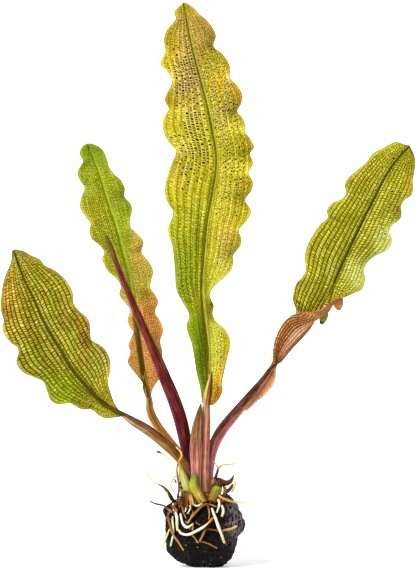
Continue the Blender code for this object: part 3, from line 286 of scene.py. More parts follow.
# Roots that lie on the front of the tuber: (x, z, lift, radius), where the lift is how far a
# root's underside stands off the tuber.
FRONT_ROOTS = {
    "white_root_1": [
        (-12.6, 25.8, -0.4, 0.42), (-12.6, 24, 0.4, 0.48), (-11.8, 22.2, 0.5, 0.55),
        (-11.2, 20, 0.5, 0.6), (-11.1, 17.2, 0.5, 0.58), (-11, 14.4, 0.6, 0.42),
    ],
    "white_root_2": [
        (-9.8, 21.8, 0.3, 0.4), (-9.4, 19.6, 0.4, 0.5), (-8.8, 17.6, 0.4, 0.52), (-7.4, 16.2, 0.5, 0.52),
        (-6, 16.6, 0.5, 0.48), (-4.5, 17.8, 0.6, 0.38),
    ],
    "white_root_3": [
        (-10.6, 15.4, 0.3, 0.36), (-9.8, 14, 0.4, 0.5), (-8.4, 13.3, 0.4, 0.56), (-6.4, 13.3, 0.5, 0.56),
        (-3.6, 14.6, 0.8, 0.52), (-0.8, 16.2, 1.2, 0.48), (1.2, 17.8, 1.5, 0.46), (3.4, 20.2, 1.2, 0.5),
    ],
    "white_root_4": [
        (2.6, 24, 0.5, 0.5), (3.8, 20.8, 1.6, 0.56), (5.4, 16.4, 1.9, 0.6), (6.8, 12.6, 1.2, 0.58),
        (7.8, 9.6, 0.6, 0.5),
    ],
    "white_root_5": [
        (5.1, 27.4, -0.4, 0.44), (5.7, 25.8, 0.4, 0.5), (5.4, 24, 0.4, 0.42), (4.6, 21.8, 0.3, 0.3),
    ],
    "white_root_6": [
        (6.6, 25, 0.3, 0.4), (7.2, 23.4, 0.4, 0.5), (7.2, 22, 0.4, 0.54), (6.6, 20.3, 0.4, 0.42),
    ],
    "white_root_7": [
        (-12.8, 20.6, 0.3, 0.34), (-12.9, 18.4, 0.4, 0.44), (-12.6, 15.6, 0.4, 0.4),
        (-12.6, 13.4, 0.3, 0.38), (-13, 11.4, 0.3, 0.42), (-13.8, 8.2, 0.3, 0.36),
    ],
    "white_root_8": [
        (-5, 26, 0.6, 0.34), (-4.2, 24.9, 0.6, 0.42), (-2.8, 24.6, 0.6, 0.42), (-1, 25.7, 0.4, 0.34),
    ],
    "brown_root_1": [
        (1.6, 25.5, 0.4, 0.46), (-0.2, 25.1, 0.5, 0.52), (-2.2, 23.6, 0.5, 0.52), (-4.2, 21.5, 0.5, 0.46),
        (-5.8, 19.5, 0.5, 0.42), (-7, 17.7, 1.2, 0.36),
    ],
    "brown_root_2": [
        (0.9, 25.2, 0.3, 0.34), (1.5, 23.4, 0.4, 0.38), (1.8, 21.6, 0.4, 0.38), (1.5, 19.2, 0.3, 0.3),
    ],
    "brown_root_3": [
        (0.5, 15.8, 0.5, 0.36), (-0.4, 14, 0.5, 0.44), (-1.4, 12, 0.4, 0.42), (-2.2, 10.4, 0.3, 0.34),
    ],
    "brown_root_4": [(-5.4, 13.2, 0.4, 0.34), (-4.2, 12, 0.4, 0.38), (-2.6, 9.8, 0.3, 0.3)],
    "brown_root_5": [
        (-2.2, 10.5, 0.3, 0.3), (-0.2, 10.1, 0.4, 0.34), (2, 9.3, 0.3, 0.3), (4.9, 7.6, 0.2, 0.18),
    ],
    "brown_root_6": [
        (-14.7, 22.2, 1.5, 0.4), (-14.6, 19.6, 1.8, 0.46), (-13.8, 16.4, 1.9, 0.5),
        (-12.6, 13, 1.6, 0.46), (-10.6, 10.2, 0.6, 0.42), (-8.4, 6.6, 0.3, 0.32),
    ],
    "orange_root_1": [
        (0.6, 15.4, 0.4, 0.3), (3, 15.2, 0.4, 0.36), (5.8, 14.7, 0.4, 0.4), (8.4, 15.1, 0.5, 0.48),
        (10.8, 15.6, 0.5, 0.5), (12.7, 16.6, 0.5, 0.42),
    ],
}
# Roots that lie on the back of the tuber, given in the same way.
BACK_ROOTS = {
    "white_root_9": [
        (-8.6, 26.4, -1.6, 0.5), (-10.4, 21.6, 0.3, 0.58), (-9.4, 14.8, 0.3, 0.58),
        (-6.2, 10.2, 0.3, 0.48),
    ],
    "white_root_10": [
        (-2.6, 26.6, -1.6, 0.5), (-1.4, 21.6, 0.3, 0.55), (1.4, 15.6, 0.3, 0.55), (0.8, 10.4, 0.3, 0.45),
    ],
    "white_root_11": [
        (5.6, 26.4, -0.4, 0.44), (8, 21.8, 0.4, 0.5), (9.2, 16, 0.4, 0.5), (8.4, 11.6, 0.4, 0.4),
    ],
    "brown_root_9": [
        (-5.6, 26.6, -1.2, 0.44), (-6.2, 20.4, 0.3, 0.42), (-3.4, 14.4, 0.3, 0.4), (-2.6, 7, 0.3, 0.28),
    ],
    "brown_root_10": [
        (1.6, 26.2, -0.6, 0.44), (4.4, 21.2, 0.4, 0.4), (5.6, 15.2, 0.4, 0.38), (4.6, 8.4, 0.4, 0.26),
    ],
}
# Short ends and husks of roots on the front that the solids leave out.
LOOSE_ROOTS = {
    "brown_rim_1": [(1, 25.4, 0.5, 0.34), (2.6, 25, 0.5, 0.4), (4.6, 24.2, 0.4, 0.3)],
    "brown_rim_2": [(-13.4, 26.6, 0.2, 0.3), (-14.5, 28.4, 2.4, 0.26), (-15.2, 30.2, 3.2, 0.2)],
    "brown_rim_3": [
        (-9.4, 25.2, 0.3, 0.3), (-9, 23.4, 0.3, 0.32), (-8.2, 21.2, 0.3, 0.28), (-7.4, 19.4, 0.2, 0.2),
    ],
    "tan_nub_1": [(-5, 17.4, 0.4, 0.28), (-4.8, 16.2, 0.5, 0.42), (-5, 15.1, 0.4, 0.34)],
    "tan_nub_2": [(-5.9, 16.1, 0.3, 0.22), (-6.1, 15.2, 0.3, 0.26)],
    "tan_nub_3": [(-7.8, 18.8, 0.4, 0.2), (-7.4, 18.1, 0.5, 0.28), (-6.8, 17.6, 0.5, 0.28)],
    "tan_nub_4": [(-4.6, 22.6, 0.4, 0.2), (-5.2, 21.2, 0.5, 0.26), (-6, 19.4, 0.4, 0.2)],
    "tan_nub_5": [(-3.8, 18.4, 0.2, 0.18), (-3, 17.6, 0.3, 0.22), (-1.8, 17, 0.2, 0.14)],
    "pink_husk_1": [
        (-12.6, 22.2, 0.4, 0.3), (-14, 22.2, 0.9, 0.3), (-14.6, 21, 1.2, 0.26), (-15.3, 19.8, 1.3, 0.22),
        (-16.2, 19, 1.3, 0.14),
    ],
    "pink_husk_2": [(-15.8, 23.9, 1.4, 0.2), (-14.6, 23, 1.3, 0.34), (-13, 21.9, 0.6, 0.24)],
    "white_loop_1": [(-7.8, 24.6, 0.6, 0.26), (-7.6, 23.6, 0.8, 0.32), (-7.9, 22.2, 0.5, 0.24)],
    "white_loop_2": [
        (-6.5, 25, 0.7, 0.22), (-5.8, 24, 0.9, 0.26), (-6.4, 22.4, 0.8, 0.26), (-7.3, 21.4, 0.4, 0.2),
    ],
}
# Roots that stand free, and dark crumbs of the tuber that cling to the pale stub: (x, z, depth,
# radius).
FREE_ROOTS = {
    "dark_crumb_1": [(-12.1, 35.4, -7.2, 0.16), (-11.8, 34.4, -7.3, 0.4), (-11.3, 33.4, -7.4, 0.16)],
    "dark_crumb_2": [(-10.2, 34.1, -8.0, 0.2), (-9.9, 33.4, -8.4, 0.42), (-9.8, 32.8, -8.4, 0.2)],
    "dark_crumb_3": [(-9.7, 32.5, -8.2, 0.2), (-9.4, 31.8, -8.5, 0.46), (-9.3, 31.1, -8.5, 0.2)],
    "dark_crumb_4": [(-10.3, 31.2, -8.2, 0.16), (-10.5, 30.5, -8.5, 0.4), (-10.6, 29.8, -8.6, 0.16)],
    "dark_crumb_5": [(-10.6, 29.4, -8.8, 0.2), (-10.8, 28.6, -9.1, 0.46), (-11.0, 27.8, -9.2, 0.2)],
    "orange_root_2": [
        (-11.8, 48.3, -8.4, 0.26), (-10, 46.6, -8.6, 0.36), (-9.3, 44.8, -8.8, 0.41),
        (-10.1, 42.8, -9, 0.41), (-11, 40.6, -9.1, 0.38), (-11.2, 38.4, -9.2, 0.38),
        (-10.8, 35.6, -9.3, 0.41), (-10.4, 32.4, -9.4, 0.41), (-10.5, 30, -9.6, 0.38),
        (-11.2, 27.4, -9.8, 0.31),
    ],
    "pale_root_1": [
        (-14, 15.4, -7.6, 0.3), (-15, 12.9, -7.2, 0.42), (-15.9, 10.8, -6.8, 0.44), (-17, 8.7, -6.6, 0.4),
        (-17.8, 7.4, -6.6, 0.26),
    ],
    "brown_root_7": [
        (-13, 22.4, -10.8, 0.42), (-14.6, 23.4, -8.8, 0.42), (-16.2, 24.5, -7.6, 0.38),
        (-18, 25, -7, 0.36), (-20.2, 25.5, -6.6, 0.34), (-22.2, 26.5, -6.4, 0.28),
    ],
    "yellow_root_1": [
        (5.4, 28.8, -9.2, 0.43), (6.8, 27.7, -9.8, 0.53), (8.8, 26.9, -9.8, 0.55),
        (11.2, 26.2, -9.4, 0.46), (14.4, 25.9, -8.9, 0.34), (19.2, 26.1, -8.6, 0.24),
    ],
    "brown_root_8": [
        (4, 34.6, -4.6, 0.6), (4.4, 36.4, -4.6, 0.56), (5, 38.2, -4.6, 0.5), (5.1, 39.4, -4.6, 0.42),
        (4.4, 40.9, -4.5, 0.26), (3.4, 42.5, -4.4, 0.18),
    ],
    "hair_root_1": [
        (-12.4, 26.2, -6.6, 0.72), (-13.6, 28, -6, 0.72), (-15, 30.3, -5.5, 0.62),
        (-16.6, 32, -5.1, 0.48), (-18.4, 33, -4.9, 0.34), (-21, 34.4, -4.6, 0.34),
        (-22.6, 36.3, -4.3, 0.34), (-23.6, 39, -4, 0.24),
    ],
    "hair_root_2": [
        (-10.8, 41, -8.4, 0.26), (-13, 42.6, -8, 0.32), (-15, 44.1, -7.7, 0.38), (-17, 45.5, -7.2, 0.35),
        (-18, 45.9, -7, 0.43), (-19.4, 46.3, -6.6, 0.35),
    ],
    "hair_root_3": [
        (-11.4, 36.6, -6.8, 0.23), (-12.8, 35.2, -6.8, 0.29), (-13.7, 33.2, -6.8, 0.32),
        (-13.2, 31, -6.8, 0.32), (-11.8, 29.6, -7, 0.29),
    ],
    "hair_root_4": [
        (5.1, 39.2, -4.6, 0.49), (6.2, 40.3, -4.6, 0.41), (7.6, 41, -4.6, 0.35), (10, 41.1, -4.5, 0.35),
        (11.8, 41.6, -4.4, 0.35), (13, 43.1, -4.2, 0.2),
    ],
    "hair_root_5": [
        (10.6, 29.8, -6.2, 0.29), (11.4, 31.4, -5.4, 0.46), (11.9, 33.8, -4.8, 0.46),
        (11.5, 36, -4.2, 0.23),
    ],
}

# The tuber and the crown: the outline is (x, z) and the crown's profile is (radius, z).
TUBER_MIDDLE = (-0.6, 0.0, 14.5)  # x, depth, z
TUBER_HALF_DEPTH = 13.6
TUBER_SQUARENESS = 2.3  # 2 is a round section
TUBER_OUTLINE = [
    (16.4, 17.4), (14.9, 21.4), (12.6, 26.2), (9.8, 29.2), (6.6, 29.0), (-2.0, 27.8),
    (-8.0, 27.2), (-13.4, 26.6), (-17.4, 23.0), (-16.2, 19.0), (-16.2, 14.0), (-15.9, 9.0),
    (-15.1, 5.0), (-12.0, 2.6), (-8.0, 0.6), (-1.0, -0.7), (5.0, -0.7), (8.4, 0.5),
    (11.3, 3.4), (12.6, 8.0), (13.3, 11.8), (15.8, 15.0),
]
SEAT_HEIGHT = 25.5  # where the tuber ends under the crown
CROWN_PLACE = (-2.0, 0.8)
CROWN_PROFILE = [(6.2, 25.0), (7.3, 26.2), (7.4, 27.6), (6.9, 28.8), (5.8, 29.8), (3.6, 30.8)]
CROWN_FOLDS, CROWN_FOLD_DEPTH = 5, 0.05  # the depths are shares of its radius
CROWN_RIDGES, CROWN_RIDGE_DEPTH = 19, 0.03
TUBER_DENT = 0.55  # how far the tuber's skin lies inside its outline
TUBER_LUMPS = 0.5  # how high the lumps and the crust stand on it
TUBER_CRUST = 0.45
TUBER_RADIUS = 15.0  # about, for the size of its lumps and crust
LUMP_SIZE = 0.38  # as a share of the radius
CRUST_SIZE = 1.6

# The tufts of fibres around the crown: from x, to x, height, how far they hang down, side, count.
TUFTS = [
    (-11.0, -4.2, 29.0, 6.0, FRONT, 34), (2.6, 8.2, 28.0, 3.0, FRONT, 10),
    (-8.0, 6.0, 28.2, 4.0, BACK, 16), (-4.0, 3.0, 27.2, 2.4, FRONT, 10),
]
TUFT_MIDDLE = 1.6  # the depth that the tufts stand around
# Between which values each fibre differs from its tuft: how far it starts from the tufts' middle,
# how much higher its top is, how far it drifts sideways, and its share of the way down.
FIBRE_START = (6.4, 7.6)
FIBRE_TOP = (-0.8, 1.0)
FIBRE_DRIFT = (-1.8, 1.8)
FIBRE_DROP = (0.5, 1.1)
FIBRE_SEAT = 24.4  # the highest place where a fibre lies on the tuber
SHORTEST_FIBRE = 1.2

HUSK_FLATNESS = 0.45  # a strip's depth as a share of its width
SHEET_RIDGES = 9.0  # how close together the ridges of a thin piece are
SHEET_RIDGE_RISE = 0.12
ROD_STEP = 0.004  # how far ahead and back a rod's direction is read

# The steps along and around the small pieces; the leaves and stalks have their own below.
ROOT_GRID = (48, 12)
STRIP_GRID = (24, 10)
FIBRE_GRID = (10, 6)
SHEET_GRID = (60, 20)
CROWN_GRID = (24, 72)

# The blades' shape
BLADE_SWELL = 0.07  # how far each half stands forward, as a share of its width
RUFFLE_POWER = 1.7  # a ruffle grows from the midrib to the margin by this power
MIDRIB_STEPS = 400
EVEN_REACH = 10.0  # how far along the leaf a half's width is evened out for its veins
LEAST_WIDTH = 0.8  # the least half width that the veins are spread over
HOLLOW_REACH = 9.0  # how far along the leaf its depth is evened out to find its hollows
HOLLOW_DEPTH = 1.6  # the depth of a full hollow
WANDER_SIZE = 7.0  # the size of the waves that veins and cells wander in
LANE_WANDER = 0.12
ROW_WANDER = 0.35
WANDER_RISE = 0.3
CELL_RISE = 0.09  # how far a cell swells
RIB_RISE = 0.35
RIB_GROOVE = 0.25
MARGIN_REACH = 1.2  # a blade is thinner and plainer this near its margin
THICKEST = 2.0  # a blade's thickness is given as shares of this
EDGE_THICKNESS = 0.12
RIB_THICKNESS = 0.76
FINE_RIDGES = 11  # on every stalk

# The rows of a leaf's net. Each column of cells has its own start, worked out from its number, and
# its rows wave and tilt: (how fast along, how far apart from column to column, how high).
ROW_START_SQUARED = 0.379
ROW_START = 0.271
ROW_WAVES = [(0.9, 2.4, 0.3), (2.3, 4.1, 0.12)]
ROW_TILT = 0.45
TILT_APART = 3.7
LINE_WIDTH = 0.3  # of the fine lines between cells, as a share of a cell

# Every colour below is as a screen shows it, with each part from 0 to 255. A list of bands has
# the place and the colour of each.
#
# What each leaf looks like:
# grid is its steps along and its columns across, lanes its veins in each half, split how many
# columns of cells lie between two veins left and right of the midrib, cell a cell's length, and
# slant how steeply the rows of cells climb from the midrib to the margin. rib is the midrib's half
# width at stations. rib_tones are the midrib's bands, and rib_foot those of its foot, with the stations
# between which they change. pleat is the depth of the pleats, and fold their shade at a vein and
# in the middle. patchy is how much some cells are brighter, and gap what a window leaves free at
# the sides and ends of its cell. base has the colours of the lines, the cells and the brightest
# cells, and each tint has the same. vein is the veins' colour and strength, and vein_width how far
# one reaches to each side, as a share of the space between two. Below the station of
# no_margin_below the margin looks like the rest of the leaf.
# A zone is (x, z, reach across, reach up, strength), and a stretch is (from station, to station,
# from v, to v, strength). Besides the tints, they say where the dots and the bare stretches of
# midrib are, where the net is even, and where its veins are fine.
# In rib_tones and rib_foot, the pale bands right of a midrib's dark middle are a painted highlight.
LEAVES = {
    "tall_leaf_blade": {
        "grid": (496, 98), "lanes": 5.8, "split": (2.0, 3.0), "cell": 1.05, "slant": 0.5,
        "rib": [(0.0, 1.2), (0.2, 1.15), (0.4, 1.05), (0.7, 0.95), (1.0, 0.45)],
        "rib_tones": [
            (0.06, 156, 152, 14), (0.22, 92, 88, 0), (0.5, 84, 80, 0), (0.62, 196, 192, 60),
            (0.85, 214, 210, 90),
        ],
        "rib_foot": (0.14, 0.3, [
            (0.1, 120, 122, 8), (0.3, 98, 74, 10), (0.5, 106, 86, 16), (0.62, 198, 198, 88),
            (0.85, 206, 206, 96),
        ]),
        "pleat": 0.34, "patchy": 0.25, "fold": (1.03, 0.92), "gap": (0.12, 0.21),
        "vein_width": 0.18,
        "base": ((144, 132, 0), (200, 188, 14), (244, 236, 98)),
        "vein": ((242, 228, 116), 0.78),
        "tints": {
            "amber": ((150, 102, 0), (206, 158, 26), (246, 214, 98)),
            "fresh": ((84, 104, 0), (128, 146, 0), (206, 214, 74)),
            "deep": ((70, 92, 0), (98, 122, 0), (176, 190, 50)),
            "straw": ((166, 160, 12), (206, 202, 66), (240, 238, 150)),
            "sand": ((146, 114, 12), (206, 176, 66), (248, 230, 160)),
            "gold": ((164, 124, 0), (214, 176, 6), (242, 216, 70)),
            "rust": ((112, 54, 0), (186, 116, 8), (234, 184, 66)),
            # crease_shade is painted shade where the lobe turns at the leaf's neck.
            "crease_shade": ((90, 80, 0), (126, 112, 14), (170, 156, 60)),
        },
        "zones": {
            "amber": [
                (4.6, 214, 4.0, 8.0, 1.1), (-13.5, 209, 4.0, 10.0, 0.5), (11.0, 204, 3.0, 8.0, 0.7),
                (-6.0, 203, 9.0, 16.0, 0.6), (10.0, 188, 4.0, 16.0, 0.5),
            ],
            "gold": [
                (-15.2, 187, 2.6, 4.5, 1.0), (14.4, 189, 2.6, 6.0, 1.0), (6.0, 192, 1.6, 10.0, 0.7),
                (16.6, 169, 2.6, 4.5, 0.6), (-15.0, 206, 3.0, 5.0, 0.5), (16.0, 153, 3.0, 5.0, 0.5),
            ],
            # Painted shade in the crease at the neck.
            "crease_shade": [(3.0, 105.6, 1.2, 1.8, 1.0), (3.6, 101.4, 1.0, 2.0, 0.8)],
            "rust": [(9.0, 207, 2.0, 9.0, 0.6), (3.0, 215, 1.6, 7.0, 0.4)],
            "fresh": [
                (-9.0, 112, 9.0, 34.0, 0.75), (-4.0, 82, 6.0, 28.0, 1.1), (-3.0, 132, 6.0, 18.0, 0.65),
                (2.0, 150, 2.4, 14.0, 0.4), (3.0, 180, 3.0, 16.0, 0.4),
            ],
            "sand": [
                (-10.0, 160, 6.0, 18.0, 0.4), (-6.0, 194, 8.0, 18.0, 0.65), (7.0, 190, 5.0, 20.0, 0.5),
                (-4.0, 215, 9.0, 10.0, 0.95), (9.0, 132, 5.0, 14.0, 0.5),
            ],
            "deep": [(-0.5, 110, 2.6, 16.0, 0.6), (-0.6, 86, 2.6, 18.0, 1.0), (-3.0, 80, 2.0, 10.0, 0.6)],
            "straw": [
                (7.0, 118, 6.0, 16.0, 0.7), (4.6, 90, 3.0, 14.0, 0.9), (8.0, 152, 6.0, 16.0, 0.4),
                (9.0, 178, 7.0, 16.0, 0.35),
            ],
            "fine": [(6.0, 172, 4.0, 26.0, 0.7), (8.0, 140, 7.0, 18.0, 0.7), (5.0, 112, 4.0, 10.0, 0.6)],
            "even": [(-2.6, 92, 4.0, 16.0, 0.7)],
            "dots": [
                (-4.6, 172, 6.0, 15.0, 1.25), (-7.0, 198, 7.0, 14.0, 1.0), (2.0, 200, 6.0, 13.0, 0.8),
                (7.0, 182, 6.0, 20.0, 0.85), (12.0, 163, 6.0, 16.0, 0.65), (8.0, 148, 5.0, 12.0, 0.45),
                (6.0, 131, 5.0, 9.0, 0.3), (8.0, 112, 2.0, 8.0, 0.4), (5.4, 87, 1.2, 10.0, 0.55),
                (-13.0, 174, 4.0, 9.0, 0.35),
            ],
        },
        "stretches": {
            "amber": [(-0.1, 0.09, 0.5, 1.1, 1.0), (0.08, 0.13, 0.86, 1.1, 0.9)],
            "rust": [(-0.1, 0.1, 0.92, 1.1, 0.8), (0.01, 0.05, 0.6, 1.1, 0.6)],
        },
    },
    "left_leaf_blade": {
        "grid": (340, 136), "lanes": 8.4, "split": (1.0, 1.0), "cell": 1.0, "slant": 0.15,
        "rib": [(0.0, 1.1), (0.15, 0.95), (0.35, 0.8), (0.6, 0.65), (1.0, 0.35)],
        "rib_tones": [(0.1, 112, 112, 2), (0.35, 70, 68, 0), (0.55, 78, 80, 0), (0.8, 136, 144, 14)],
        "rib_foot": (0.2, 0.5, [
            (0.1, 124, 120, 6), (0.4, 84, 74, 2), (0.65, 90, 78, 4), (0.9, 132, 128, 10),
        ]),
        "pleat": 0.2, "patchy": 0.5, "fold": (0.94, 1.05), "gap": (0.14, 0.2),
        "vein_width": 0.15,
        "base": ((84, 70, 0), (160, 146, 26), (224, 212, 92)),
        "vein": ((56, 42, 0), 0.9),
        "tints": {
            "amber": ((92, 58, 0), (180, 144, 34), (236, 208, 104)),
            "fresh": ((84, 90, 0), (144, 154, 8), (206, 212, 76)),
            "pale": ((120, 116, 14), (182, 178, 62), (232, 228, 136)),
            "dark": ((84, 80, 16), (136, 132, 50), (184, 176, 90)),
        },
        "zones": {
            "amber": [
                (-79, 106, 5.0, 20.0, 0.7), (-56, 104, 4.0, 10.0, 0.3), (-47, 97, 4.6, 10.0, 0.62),
                (-78, 90, 5.0, 10.0, 0.5), (-72, 122, 4.0, 6.0, 0.4),
            ],
            "fresh": [
                (-58, 72, 12.0, 10.0, 0.9), (-68, 84, 8.0, 8.0, 0.6), (-42, 66, 5.0, 6.0, 0.5),
                (-60, 104, 4.0, 12.0, 0.5), (-67, 116, 4.0, 10.0, 0.4), (-53, 90, 3.0, 10.0, 0.5),
                (-46, 78, 3.0, 8.0, 0.5),
            ],
            "pale": [(-42, 81, 6.0, 9.0, 0.6), (-54, 112, 5.0, 7.0, 0.3)],
            "dark": [(-72, 127, 5.0, 5.0, 0.9)],
            "even": [(-58, 68, 14.0, 10.0, 0.5), (-40, 66, 6.0, 8.0, 0.5), (-68, 127, 6.0, 6.0, 0.4)],
        },
    },
    "back_leaf_blade": {
        "grid": (360, 84), "lanes": 4.4, "split": (3.0, 3.0), "cell": 0.95, "slant": 0.2,
        "rib": [(0.0, 1.2), (0.25, 1.1), (0.6, 1.3), (0.85, 1.0), (1.0, 0.5)],
        "rib_tones": [(0.18, 124, 134, 4), (0.32, 92, 100, 0), (0.46, 164, 182, 44), (0.8, 184, 200, 72)],
        "rib_foot": (0.34, 0.42, [
            (0.15, 126, 116, 30), (0.35, 62, 66, 6), (0.65, 76, 80, 10), (0.85, 160, 124, 44),
        ]),
        "pleat": 0.14, "patchy": 0.45, "fold": (0.96, 1.03), "gap": (0.2, 0.26),
        "vein_width": 0.12,
        "base": ((104, 112, 0), (168, 174, 28), (220, 224, 96)),
        "vein": ((132, 100, 6), 0.5),
        "tints": {
            "olive": ((100, 98, 0), (164, 160, 20), (222, 214, 92)),
            "amber": ((186, 108, 18), (246, 182, 92), (255, 226, 158)),
            "gold": ((156, 130, 14), (220, 190, 76), (248, 226, 150)),
            "fresh": ((106, 126, 0), (156, 176, 24), (206, 220, 92)),
        },
        "zones": {
            "gold": [(-25, 128, 5.0, 16.0, 1.0), (-29, 114, 4.0, 10.0, 0.8), (-50, 118, 3.0, 8.0, 0.4)],
            "amber": [(-24, 84, 12.0, 22.0, 1.3), (-19, 106, 4.0, 16.0, 1.0), (-26, 70, 12.0, 12.0, 1.2)],
            "fresh": [(-46, 167, 8.0, 8.0, 1.0), (-33, 144, 4.0, 12.0, 0.6)],
            "olive": [(-46, 138, 6.0, 14.0, 0.75), (-38, 126, 5.0, 10.0, 0.6)],
            "fine": [(-42, 150, 12.0, 40.0, 0.8)],
            "dots": [
                (-42, 140, 8.0, 18.0, 0.16), (-30, 146, 5.0, 12.0, 0.14), (-30, 128, 7.0, 20.0, 0.16),
            ],
        },
    },
    "right_leaf_blade": {
        "grid": (430, 110), "lanes": 8.0, "split": (1.0, 1.0), "cell": 0.92, "slant": 0.5,
        "rib": [
            (0.0, 1.0), (0.12, 0.7), (0.17, 0.3), (0.42, 0.3), (0.5, 0.62), (0.75, 0.58), (1.0, 0.35),
        ],
        "rib_tones": [(0.2, 132, 132, 2), (0.4, 58, 56, 0), (0.6, 62, 60, 0), (0.8, 150, 152, 20)],
        "rib_foot": (0.42, 0.5, [
            (0.15, 206, 156, 112), (0.45, 122, 74, 34), (0.6, 150, 104, 60), (0.9, 206, 166, 126),
        ]),
        "pleat": 0.24, "patchy": 0.4, "fold": (0.97, 1.03), "gap": (0.16, 0.24),
        "vein_width": 0.2, "no_margin_below": 0.48,
        "base": ((100, 94, 0), (170, 164, 26), (228, 222, 96)),
        "vein": ((50, 44, 0), 0.92),
        "tints": {
            "amber": ((130, 92, 0), (186, 146, 30), (226, 196, 92)),
            "fresh": ((138, 142, 30), (200, 204, 100), (246, 248, 180)),
            "bronze": ((132, 62, 16), (232, 164, 88), (255, 224, 166)),
            "peach": ((212, 138, 90), (255, 214, 168), (255, 244, 222)),
            "dark": ((84, 78, 0), (138, 128, 28), (186, 172, 68)),
            "tail": ((110, 74, 30), (164, 120, 72), (206, 176, 134)),
        },
        "zones": {
            "amber": [(81, 158, 2.6, 9.0, 0.42), (76, 141, 2.0, 6.0, 0.3), (60, 156, 8.0, 6.0, 0.35)],
            "fresh": [(72, 128, 6.0, 10.0, 0.9), (61, 116, 6.0, 7.0, 0.9), (50, 120, 4.0, 8.0, 0.3)],
            "dark": [(74, 164, 8.0, 4.0, 0.25)],
            "dots": [(73, 146, 5.0, 16.0, 0.3)],
            "even": [(74, 127, 5.0, 8.0, 0.75), (63, 113, 6.0, 7.0, 0.85)],
            "fine": [(74, 142, 7.0, 24.0, 0.8), (64, 118, 7.0, 10.0, 0.9)],
        },
        "stretches": {
            "bronze": [
                (0.16, 0.43, 0.0, 1.1, 1.2), (0.4, 0.45, 0.5, 1.1, 1.0), (-0.1, 0.34, -1.1, 0.0, 1.1),
            ],
            "peach": [
                (-0.1, 0.2, -1.1, -0.05, 1.2), (0.2, 0.4, -0.1, 0.4, 0.9), (0.2, 0.36, -1.1, -0.05, 0.8),
            ],
            "tail": [(0.395, 0.46, 0.3, 1.1, 1.3)],
            "bare": [(0.36, 0.5, -0.3, 1.1, 1.0)],
            "even": [(0.38, 0.47, 0.2, 1.1, 0.9)],
            "fine": [(0.38, 0.47, 0.2, 1.1, 0.9)],
        },
    },
}
LEAF_MOTTLES = (0.4, 0.8, 9.0)  # the sizes of the specks, the fine and the broad mottling
STRONG_VEIN = 0.85
WINDOW_TONE = (54, 20, 0)
